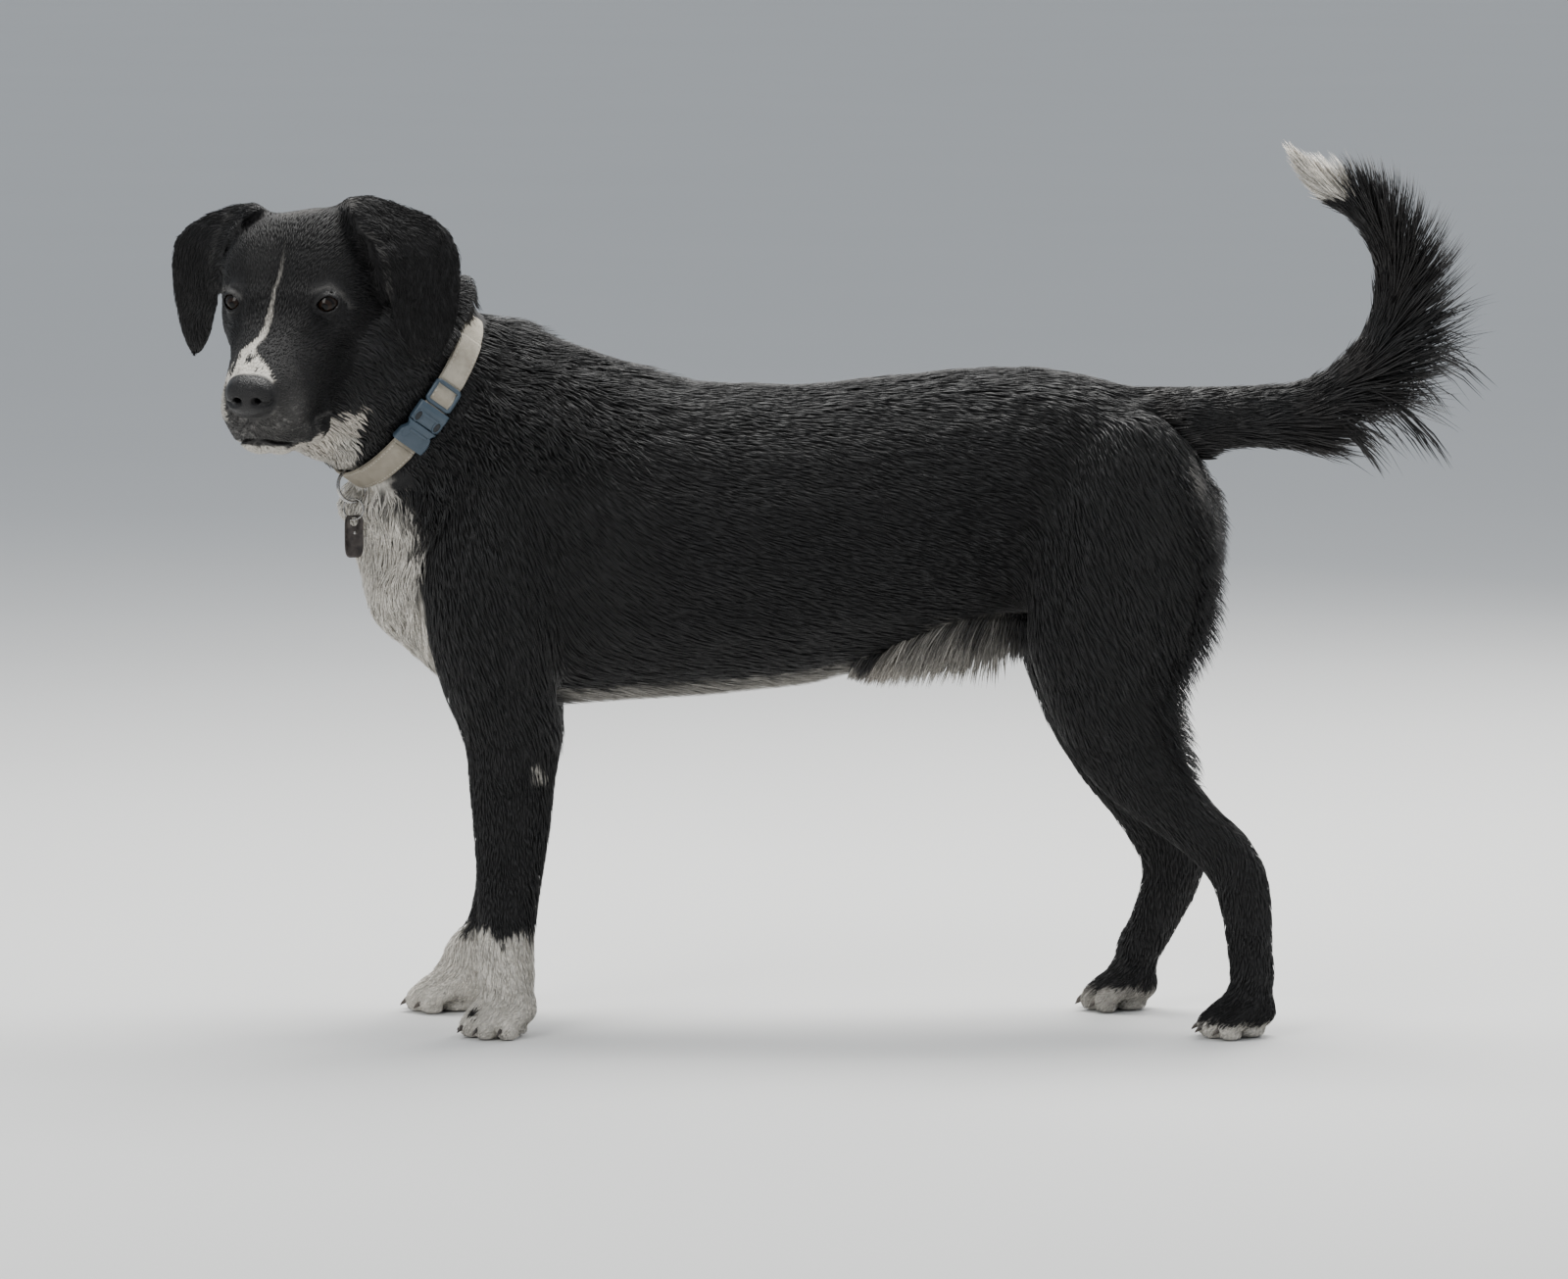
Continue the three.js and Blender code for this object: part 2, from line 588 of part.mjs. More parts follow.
const trunkLoft = (grow) => loft(TRUNK,
  { rings: 14, sides: 16, domes: TRUNK_DOMES, facing: BACKWARDS, grow });
const neckLoft = loft(NECK, { rings: 9, sides: 14, domes: NECK_DOMES, square: 2 });
const torso = withoutLegs(trunkLoft(0).add(neckLoft)).subtract(tailCutter);
const headCutter = headLoft(CLEAR).add(headLoft(CLEAR).translate([0, -CLEAR, 0]))
  .add(ear(LEFT_EAR, LEFT, CLEAR)).add(ear(RIGHT_EAR, RIGHT, CLEAR));
const { through, normal } = NECK_CUT;
const neck = withoutRings(torso.intersect(halfSpace(through, normal, GAP))
  .subtract(inBody(headCutter)).subtract(collarGroove));
const trunk = withoutRings(torso.subtract(halfSpace(through, normal)).subtract(collarGroove));
const sheath = withoutLegs(ellipsoid(SHEATH_TUFT, 0, 12, 8).subtract(trunkLoft(GAP)));

dog.add(mesh('neck', mainBody(neck), BLACK_COAT()));
dog.add(mesh('trunk', mainBody(trunk), BLACK_COAT()));
dog.add(mesh('sheath_tuft', mainBody(sheath), finish(0xa8a49b, 0.8)));
dog.add(headFrame);

// The origin is on the ground under the middle of the dog's box.
const middle = new THREE.Box3().setFromObject(dog, true).getCenter(new THREE.Vector3());
dog.position.set(-middle.x, -middle.y, 0);

export default dog;
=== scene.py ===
"""A standing black-and-white dog with a collar: its skin, coat, eyes, claws and collar.

The shapes are worked out in millimetres in the body's own frame: +X towards the rump, -Y
towards the dog's left side, +Z up, with the withers' plane of symmetry at y = 0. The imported
model's frame is the same one moved along X and Y by SHIFT.
"""

import math

import bpy
import numpy as np
import openvdb as vdb
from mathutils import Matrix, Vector
from mathutils.bvhtree import BVHTree


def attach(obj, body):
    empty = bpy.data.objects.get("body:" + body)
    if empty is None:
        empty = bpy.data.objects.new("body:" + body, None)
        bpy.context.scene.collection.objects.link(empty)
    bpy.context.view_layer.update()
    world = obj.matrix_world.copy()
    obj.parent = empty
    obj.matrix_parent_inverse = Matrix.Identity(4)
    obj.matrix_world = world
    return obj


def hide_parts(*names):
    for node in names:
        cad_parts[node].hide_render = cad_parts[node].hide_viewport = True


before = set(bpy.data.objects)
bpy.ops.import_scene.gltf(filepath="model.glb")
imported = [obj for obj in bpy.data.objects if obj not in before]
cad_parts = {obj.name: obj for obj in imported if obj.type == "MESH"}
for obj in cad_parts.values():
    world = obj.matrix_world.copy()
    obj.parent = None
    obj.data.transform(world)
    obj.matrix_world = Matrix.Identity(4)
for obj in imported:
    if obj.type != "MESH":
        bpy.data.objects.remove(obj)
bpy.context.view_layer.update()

# ---- Frames ----

HEAD_RIGHT = np.array([-0.9578, 0.2874, 0.0])
HEAD_FORWARD = np.array([-0.2664, -0.8881, -0.3746])
HEAD_UP = np.array([-0.1076, -0.3588, 0.9272])
HEAD_ORIGIN = np.array([-419.6, -140.0, 622.8])  # midway between the eyes
EYE_AT = np.array([39.0, -8.0, 0.0])  # sideways, forward and up in the head's frame
EYE_RADIUS = 11.5
OVER_FLOOR = 0.3  # hair and claws end this far over the floor, in mm


def vertices_of(node):
    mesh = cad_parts[node].data
    flat = np.empty(len(mesh.vertices) * 3, np.float64)
    mesh.vertices.foreach_get("co", flat)
    return flat.reshape(-1, 3)


def triangles_of(node):
    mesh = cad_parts[node].data
    mesh.calc_loop_triangles()
    flat = np.empty(len(mesh.loop_triangles) * 3, np.int32)
    mesh.loop_triangles.foreach_get("vertices", flat)
    return flat.reshape(-1, 3)


def middle_of(node):
    points = np.unique(np.round(vertices_of(node), 6), axis=0)
    return points.mean(0)


EYES_MIDDLE = (middle_of("eye_left") + middle_of("eye_right")) / 2
SHIFT = EYES_MIDDLE - (HEAD_ORIGIN + EYE_AT[1] * HEAD_FORWARD) / 1000
SHIFT[2] = 0.0


def to_row(points):
    return np.asarray(points) / 1000 + SHIFT


def to_head(points):
    """Body coordinates as (towards the dog's left, forward, up) from between the eyes."""
    offset = np.asarray(points) - HEAD_ORIGIN
    return np.stack([-offset @ HEAD_RIGHT, offset @ HEAD_FORWARD, offset @ HEAD_UP], -1)


def from_head(points):
    p = np.asarray(points, float)
    return (HEAD_ORIGIN - p[..., :1] * HEAD_RIGHT + p[..., 1:2] * HEAD_FORWARD
            + p[..., 2:3] * HEAD_UP)


def head_vector(v):
    v = np.asarray(v, float)
    return -v[..., :1] * HEAD_RIGHT + v[..., 1:2] * HEAD_FORWARD + v[..., 2:3] * HEAD_UP


# ---- Small mathematics ----


def unit(v):
    return v / np.maximum(np.linalg.norm(v, axis=-1, keepdims=True), 1e-9)


def smooth_step(value, low, high):
    t = np.clip((value - low) / (high - low), 0, 1)
    return t * t * (3 - 2 * t)


def noise(points, size, seed, waves=14):
    """Soft seeded noise from -1 to 1, with features about size millimetres across."""
    maker = np.random.default_rng(seed)
    total = np.zeros(len(points))
    for _ in range(waves):
        way = unit(maker.normal(size=3)) * (2 * math.pi / size) * maker.uniform(0.5, 1.3)
        total += np.sin(points @ way + maker.uniform(0, 2 * math.pi))
    return total / math.sqrt(waves) / 1.3


def smooth_min(a, b, k):
    h = np.clip(0.5 + 0.5 * (b - a) / k, 0, 1)
    return b + (a - b) * h - k * h * (1 - h)


def smooth_max(a, b, k):
    return -smooth_min(-a, -b, k)


# ---- The body's volume, as distances to its surface ----


class Volume:
    """Distances on a grid whose lines may be spaced unevenly."""

    def __init__(self, values, xs, ys, zs):
        self.values = values
        self.lines = (np.asarray(xs, float), np.asarray(ys, float), np.asarray(zs, float))

    def at(self, points):
        index = []
        for axis, line in enumerate(self.lines):
            at = np.interp(points[:, axis], line, np.arange(len(line)))
            low = np.minimum(at.astype(np.int64), len(line) - 2)
            index.append((low, (at - low).astype(np.float32)))
        (i, fx), (j, fy), (k, fz) = index
        v = self.values
        out = 0
        for di, wx in ((0, 1 - fx), (1, fx)):
            for dj, wy in ((0, 1 - fy), (1, fy)):
                for dk, wz in ((0, 1 - fz), (1, fz)):
                    out = out + v[i + di, j + dj, k + dk] * (wx * wy * wz)
        return out

    def normal(self, points, reach=2.5):
        parts = []
        for axis in range(3):
            step = np.zeros(3)
            step[axis] = reach
            parts.append(self.at(points + step) - self.at(points - step))
        return unit(np.stack(parts, -1))


FLESH = sorted(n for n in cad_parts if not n.startswith(("collar_", "eye_")))
BODY_STEP = 3.0  # between the lines of the body's grid, in mm
EAR_STEP = 1.25


def merged(names):
    points, triangles, owner, count = [], [], [], 0
    for k, name in enumerate(names):
        v = (vertices_of(name) - SHIFT) * 1000
        t = triangles_of(name)
        points.append(v)
        triangles.append(t + count)
        owner.append(np.full(len(t), k))
        count += len(v)
    return np.concatenate(points), np.concatenate(triangles), np.concatenate(owner)


def distances(points, triangles, quads, low, shape, step, band):
    """Signed distances to closed surfaces, on an even grid, right to within band."""
    transform = vdb.createLinearTransform(voxelSize=step)
    local = (points - low).astype(np.float32)
    grid = vdb.FloatGrid.createLevelSetFromPolygons(
        local, triangles=triangles, quads=quads, transform=transform, halfWidth=band / step)
    out = np.full(shape, band, np.float32)
    grid.copyToArray(out, ijk=(0, 0, 0))
    return out


def closed_volume(names, low, high, step, close, band):
    """The distances to the named solids' common outside, with the cuts between them closed."""
    low, high = np.asarray(low, float), np.asarray(high, float)
    shape = tuple(int(n) for n in np.ceil((high - low) / step) + 1)
    points, triangles, _ = merged(names)
    first = distances(points, triangles.astype(np.uint32), None, low, shape, step, close + 2 * step)
    grid = vdb.FloatGrid(float(first.max()))
    grid.copyFromArray(first)
    shell, quads = grid.convertToQuads(isovalue=close)
    shell = shell.astype(np.float64) * step + low
    second = distances(shell, None, quads, low, shape, step, band) + close
    lines = [low[a] + step * np.arange(shape[a]) for a in range(3)]
    return Volume(second, *lines)


def blur(values, sigma):
    """A Gaussian blur by sigma cells."""
    reach = int(math.ceil(2.5 * sigma))
    weights = np.exp(-0.5 * (np.arange(-reach, reach + 1) / sigma) ** 2)
    weights = (weights / weights.sum()).astype(np.float32)
    for axis in range(3):
        padded = np.pad(values, [(reach, reach) if a == axis else (0, 0) for a in range(3)],
                        mode="edge")
        total = np.zeros_like(values)
        for k, w in enumerate(weights):
            part = [slice(None)] * 3
            part[axis] = slice(k, k + values.shape[axis])
            total += w * padded[tuple(part)]
        values = total
    return values


def capsules(points, centres, radii):
    """Distances to a chain of round-ended tapering rods through the centres."""
    best = None
    for a, b, ra, rb in zip(centres[:-1], centres[1:], radii[:-1], radii[1:]):
        along = b - a
        t = np.clip(((points - a) @ along) / (along @ along), 0, 1)
        d = np.linalg.norm(points - a - t[..., None] * along, axis=-1) - (ra + t * (rb - ra))
        best = d if best is None else np.minimum(best, d)
    return best


def ellipsoid(points, centre, half):
    """Roughly the distance to an ellipsoid, true near its surface."""
    q = (points - np.asarray(centre)) / np.asarray(half)
    k0 = np.linalg.norm(q, axis=-1)
    k1 = np.linalg.norm(q / np.asarray(half), axis=-1)
    return k0 * (k0 - 1) / np.maximum(k1, 1e-6)


# Swellings (and hollows, with a minus) of the body under the coat: the middle x, y and z, then
# the reach along x, y and z, then the height. The first list is the same on both sides.
FORMS = [
    (-232, 84, 522, 24, 30, 46, 4.0), (-300, 72, 408, 30, 26, 32, 4.5),
    (-178, 100, 462, 26, 34, 70, -5.0), (-90, 104, 410, 90, 24, 80, 2.0),
    (-204, 84, 272, 15, 18, 20, 5.0), (-186, 84, 318, 18, 26, 30, -4.0),
    (172, 92, 418, 42, 30, 52, -6.0), (240, 56, 538, 26, 20, 18, 5.0),
    (250, 100, 400, 42, 18, 74, 4.0), (322, 96, 350, 13, 18, 64, -3.5),
    (206, 88, 326, 20, 18, 24, 4.0), (-258, 92, 345, 18, 20, 60, 3.0),
    (300, 100, 470, 26, 20, 36, 2.5), (60, 0, 578, 150, 9, 16, -1.6),
    (-235, 92, 120, 14, 14, 14, 1.0), (-240, 0, 590, 27, 34, 24, 13.5),
    (-356, 0, 404, 24, 38, 34, 6.0), (378, 62, 410, 18, 46, 60, -5.0),
    (-181, 72, 241, 9, 26, 11, 5.5), (-189, 72, 284, 10, 28, 16, -4.0),
]
LONE_FORMS = [  # the hollows of the hocks, and the swelling of the nape near the head
    (338, -74, 212, 10, 9, 26, -5.0), (338, -98, 212, 10, 9, 26, -5.0),
    (338, -50, 212, 10, 9, 26, -5.0), (304, 98, 208, 10, 9, 26, -5.0),
    (304, 50, 208, 10, 9, 26, -5.0), (-270, -22, 623, 17, 32, 22, 10.0),
]

# The tail under its hair: the rows' x and z, the reach of the coat towards the inside of the
# curve, and the radius of the tail itself.
TAIL = np.array([
    (268, 508, 36, 26), (330, 514, 31, 22), (392, 520, 25, 17), (440, 527, 22, 14),
    (474, 546, 21, 13), (500, 573, 19, 12), (512, 606, 17, 11), (514, 640, 15, 10),
    (504, 671, 14, 9), (486, 694, 13, 8), (463, 710, 12, 7), (447, 722, 9, 5), (438, 733, 5, 2.5),
], float)


def smooth_line(rows, steps):
    """Points along a soft curve through the rows, by Catmull-Rom."""
    rows = np.asarray(rows, float)
    ends = np.concatenate([[2 * rows[0] - rows[1]], rows, [2 * rows[-1] - rows[-2]]])
    out = []
    for i in range(1, len(ends) - 2):
        p0, p1, p2, p3 = ends[i - 1:i + 3]
        for t in np.arange(steps) / steps:
            out.append(0.5 * (2 * p1 + (p2 - p0) * t + (2 * p0 - 5 * p1 + 4 * p2 - p3) * t * t
                              + (3 * p1 - p0 - 3 * p2 + p3) * t ** 3))
    out.append(rows[-1])
    return np.array(out)


def tail_line():
    """The tail's middle, its radii, and the way to the inside of its curve."""
    rows = smooth_line(TAIL, 4)
    along = unit(np.gradient(rows[:, :2], axis=0))
    inside = np.stack([-along[:, 1], np.zeros(len(rows)), along[:, 0]], -1)
    offset = np.maximum(rows[:, 2] - rows[:, 3] - 4, 0)
    centres = np.stack([rows[:, 0], np.zeros(len(rows)), rows[:, 1]], -1) + inside * offset[:, None]
    return centres, rows[:, 3], inside


BODY_NODES = [n for n in FLESH
              if not n.startswith(("ear_", "tail_plume", "tail_tip", "sheath_"))]
body = closed_volume(BODY_NODES, (-560, -244, -20), (546, 140, 750), BODY_STEP, close=2.0, band=24.0)
body.values = blur(body.values, 2.1)


def collar_distance(points):
    """How far points lie from the collar's plane, along its axis."""
    return np.abs((points - COLLAR_CENTRE) @ COLLAR_AXIS)


COLLAR_CENTRE = np.array([-320.5, -30.0, 537.0])
COLLAR_NAPE = np.array([0.602, 0.0, 0.798])
COLLAR_AXIS = np.array([-0.745, -0.36, 0.562])


# How thick the coat lies on the trunk, how much less on the legs and the feet, how much more on
# the ruff, and then on the head and under the collar.
TRUNK_COAT, LEG_LESS, FOOT_LESS, RUFF_MORE, HEAD_COAT, COLLAR_COAT = 7.5, 4.3, 0.8, 2.0, 2.6, 2.4


def coat_depth(points):
    """How thick the coat lies over the skin."""
    h = to_head(points)
    head = smooth_step(h[..., 1], -80, -40) * smooth_step(h[..., 2], -150, -110)
    leg = 1 - smooth_step(points[..., 2], 190, 300)
    foot = 1 - smooth_step(points[..., 2], 40, 90)
    depth = TRUNK_COAT - LEG_LESS * leg - FOOT_LESS * foot
    ruff = smooth_step(-points[..., 0], 150, 260) * smooth_step(points[..., 2], 330, 430)
    depth = depth + RUFF_MORE * ruff
    depth = depth + (HEAD_COAT - depth) * head
    near = 1 - smooth_step(collar_distance(points), 14, 34)
    near = near * smooth_step(points[..., 2], 400, 440) * (points[..., 0] < -230) * (1 - head)
    return depth + (COLLAR_COAT - depth) * near


def add_forms(volume, forms):
    """Lifts or sinks the surface softly round each form's middle."""
    xs, ys, zs = volume.lines
    for x, y, z, rx, ry, rz, lift in forms:
        spans = [slice(*np.searchsorted(line, (at - 2.3 * r, at + 2.3 * r)))
                 for line, at, r in ((xs, x, rx), (ys, y, ry), (zs, z, rz))]
        ex = np.exp(-((xs[spans[0]] - x) / rx) ** 2)[:, None, None]
        ey = np.exp(-((ys[spans[1]] - y) / ry) ** 2)[None, :, None]
        ez = np.exp(-((zs[spans[2]] - z) / rz) ** 2)[None, None, :]
        volume.values[tuple(spans)] -= lift * ex * ey * ez


def grid_points(volume, low, high):
    """The slices of a box of the grid, and its points."""
    spans = tuple(slice(*np.searchsorted(line, (a, b)))
                  for line, a, b in zip(volume.lines, low, high))
    lines = [line[span] for line, span in zip(volume.lines, spans)]
    return spans, np.stack(np.meshgrid(*lines, indexing="ij"), -1)


both_sides = [f for x, y, *rest in FORMS for f in {(x, y, *rest), (x, -y, *rest)}]
add_forms(body, both_sides + LONE_FORMS)
SLAB = 60  # how many planes of the grid are sunk under the coat at a time
for start in range(0, len(body.lines[0]), SLAB):
    slab = slice(start, start + SLAB)
    p = np.stack(np.meshgrid(body.lines[0][slab], *body.lines[1:], indexing="ij"), -1)
    body.values[slab] += coat_depth(p).astype(np.float32)

tail_middle, tail_radius, tail_inside = tail_line()
tail_along = unit(np.gradient(tail_middle, axis=0))
tail_steps = np.linalg.norm(np.diff(tail_middle, axis=0), axis=1)
tail_far = np.concatenate([[0], np.cumsum(tail_steps)])


def nearest_on_tail(points):
    """For each point, the number of the nearest one on the tail's line."""
    return np.argmin(np.linalg.norm(points[:, None] - tail_middle[None], axis=-1), 1)


spans, p = grid_points(body, (210, -60, 440), (999, 60, 999))
tail_only = capsules(p, tail_middle[::2], tail_radius[::2])
body.values[spans] = smooth_min(body.values[spans], tail_only, 14)
spans, p = grid_points(body, (30, -60, 270), (240, 60, 360))
body.values[spans] = smooth_min(body.values[spans], ellipsoid(p, (135, 0, 336), (52, 9, 12)), 12)

# ---- Ears, as thin leaves of their own ----

EAR_DEPTH = 0.3  # how far the ears' skin lies under the CAD's surface
EAR_FRONT = -366.0  # where the camera sees the near ear's root begin
EAR_ROOTS = {  # rods from the skull out into the root of each ear, in the head's frame
    "ear_left": [((36, -74, 34), (54, -75, 49), 11, 6.5), ((36, -84, 32), (60, -84, 47), 11, 6.5),
                 ((46, -64, 26), (60, -60, 42), 12, 5), ((50, -76, 14), (68, -72, 34), 11, 4.5),
                 ((58, -66, 26), (76, -54, 22), 13, 8), ((60, -64, 0), (79, -54, 6), 13, 7),
                 ((54, -72, 40), (70, -62, 38), 10, 6), ((58, -60, -8), (74, -56, -14), 12, 7),
                 ((76, -55, 18), (75, -56, -12), 6, 6), ((75, -56, -12), (69, -60, -38), 6, 5),
                 ((69, -60, -36), (65, -64, -60), 5.5, 4)],
    "ear_right": [((-28, -70, 38), (-40, -72, 49), 11, 7.5), ((-36, -84, 32), (-52, -84, 43), 11, 6.5),
                  ((-42, -62, 32), (-50, -56, 40), 11, 5), ((-50, -70, 12), (-58, -64, 28), 11, 4.5),
                  ((-50, -60, 16), (-60, -54, 10), 11, 6), ((-54, -62, -4), (-66, -58, -8), 12, 6)],
}


ELEVATION = math.radians(6)  # of the camera, which looks along +y
VIEW_MIDDLE = np.array([0, 0, 327.08 / math.cos(ELEVATION)])
VIEW_DISTANCE = 8000.0


def as_seen(points):
    """How far right and up of the view's middle the camera sees points, in mm at its distance."""
    offset = points - VIEW_MIDDLE
    ahead = offset @ np.array([0, math.cos(ELEVATION), -math.sin(ELEVATION)])
    up = offset @ np.array([0, math.sin(ELEVATION), math.cos(ELEVATION)])
    return np.stack([offset[:, 0], up], -1) / (1 + ahead / VIEW_DISTANCE)[:, None]


def ear_volume(name):
    points = (vertices_of(name) - SHIFT) * 1000
    low = points.min(0) - 14
    shape = tuple(int(n) for n in np.ceil((points.max(0) + 14 - low) / EAR_STEP) + 1)
    triangles = triangles_of(name).astype(np.uint32)
    values = blur(distances(points, triangles, None, low, shape, EAR_STEP, 12.0), 0.9)
    lines = [low[a] + EAR_STEP * np.arange(shape[a]) for a in range(3)]
    return Volume(values + EAR_DEPTH, *lines)


# ---- The grid of the skin: fine round the face and the feet, wider elsewhere ----


def spaced(*stretches):
    """Grid lines through stretches of (start, end, step)."""
    lines = []
    for start, end, step in stretches:
        count = max(1, round((end - start) / step))
        lines.append(start + (end - start) / count * np.arange(count))
    lines.append([stretches[-1][1]])
    return np.concatenate(lines)


SX = spaced((-530, -372, 1.35), (-372, -262, 1.6), (-262, -225, 2.6), (-225, 540, 4.2))
SY = spaced((-234, -84, 1.35), (-84, -8, 1.7), (-8, 112, 3.0))
SZ = spaced((-6, 48, 1.8), (48, 486, 4.2), (486, 716, 1.55), (716, 745, 2.4))


def resampled(volume, xs, ys, zs):
    out = volume.values
    for axis, line in enumerate((xs, ys, zs)):
        at = np.interp(line, volume.lines[axis], np.arange(len(volume.lines[axis])))
        low = np.minimum(at.astype(int), len(volume.lines[axis]) - 2)
        share = (at - low).astype(np.float32).reshape([-1 if a == axis else 1 for a in range(3)])
        out = np.take(out, low, axis) * (1 - share) + np.take(out, low + 1, axis) * share
    return Volume(out, xs, ys, zs)


skin_volume = resampled(body, SX, SY, SZ)

for ear in ("ear_left", "ear_right"):
    leaf = ear_volume(ear)
    low = [line[0] for line in leaf.lines]
    high = [line[-1] for line in leaf.lines]
    spans, p = grid_points(skin_volume, low, high)
    d = leaf.at(p.reshape(-1, 3)).reshape(p.shape[:3])
    if ear == "ear_left":  # the fold starts further out on the crown
        d = smooth_max(d, EAR_FRONT - as_seen(p.reshape(-1, 3))[:, 0].reshape(d.shape), 5)
    skin_volume.values[spans] = smooth_min(skin_volume.values[spans], d, 5)
    ends = from_head(np.array([end for rod in EAR_ROOTS[ear] for end in rod[:2]], float))
    spans, p = grid_points(skin_volume, ends.min(0) - 22, ends.max(0) + 22)
    for (_, _, thick, thin), a, b in zip(EAR_ROOTS[ear], ends[::2], ends[1::2]):
        rod = capsules(p, np.array([a, b]), (thick, thin))
        skin_volume.values[spans] = smooth_min(skin_volume.values[spans], rod, 9)

# ---- Head ----

GAZE = unit(np.array([0.35, 0.88, 0.30]))
LID_HALF = (9.0, 6.0)  # half the width and height of the opening between the lids
MOUTH = np.array([  # the line of the closed lips, on the dog's left
    (0, 99, -77), (9, 96, -78), (18, 88, -83), (27, 74, -92), (33, 57, -101),
    (37, 42, -107), (41, 31, -104), (43, 24, -94), (43.5, 22, -88),
], float)
NOSE_AT = np.array([0, 92.5, -37.0])
NOSE_HALF = np.array([20.5, 13.5, 17.0])


HEAD_FORMS = [  # middle and reach with both sides mirrored to the dog's left, then the height
    ((24, 10, 16), (17, 13, 9), 3.2),  # brow
    ((0, 0, 22), (7, 30, 30), -1.8),  # furrow of the forehead
    ((0, 22, -4), (15, 16, 12), -2.2),  # stop
    ((31, 20, -16), (10, 18, 13), -3.6),  # hollow in front of the eye
    ((52, -18, -26), (16, 24, 13), 3.0),  # cheekbone
    ((57, -34, 6), (14, 18, 18), -1.8),  # temple
    ((44, 2, -52), (12, 26, 20), -2.2),  # hollow of the cheek
    ((27, 66, -74), (13, 28, 18), 3.0),  # upper lip
    ((34, 40, -96), (8, 14, 9), 3.5),  # corner of the upper lip
    ((0, 62, -8), (10, 34, 12), 1.2),  # bridge of the muzzle
    ((30, 82, -58), (12, 16, 16), 3.6),  # whisker pad
]


def lip_height(forward):
    """How high the line of the closed lips runs, this far forward."""
    order = np.argsort(MOUTH[:, 1])
    return np.interp(forward, MOUTH[order, 1], MOUTH[order, 2])


def boxy(points, centre, half, power):
    """Roughly the distance to a swollen ellipsoid, boxier as the power rises."""
    q = np.abs((points - np.asarray(centre)) / np.asarray(half))
    return (np.sum(q ** power, -1) ** (1 / power) - 1) * min(half)


def eye_frame(side):
    """The gaze, the way along the lids towards the ear, and the way up across them."""
    gaze = GAZE * (side, 1, 1)
    lean = np.array([0.10 * side, -0.30, 1.0])
    up = unit(lean - gaze * (lean @ gaze))
    out = np.cross(up, gaze) * side
    return gaze, out * np.sign(out[0] * side), up


def lens(across, high, half_width, half_height):
    """The distance to the almond between two arcs of one circle."""
    radius = (half_width ** 2 + half_height ** 2) / (2 * half_height)
    drop = radius - half_height
    return np.maximum(np.hypot(across, high + drop), np.hypot(across, high - drop)) - radius


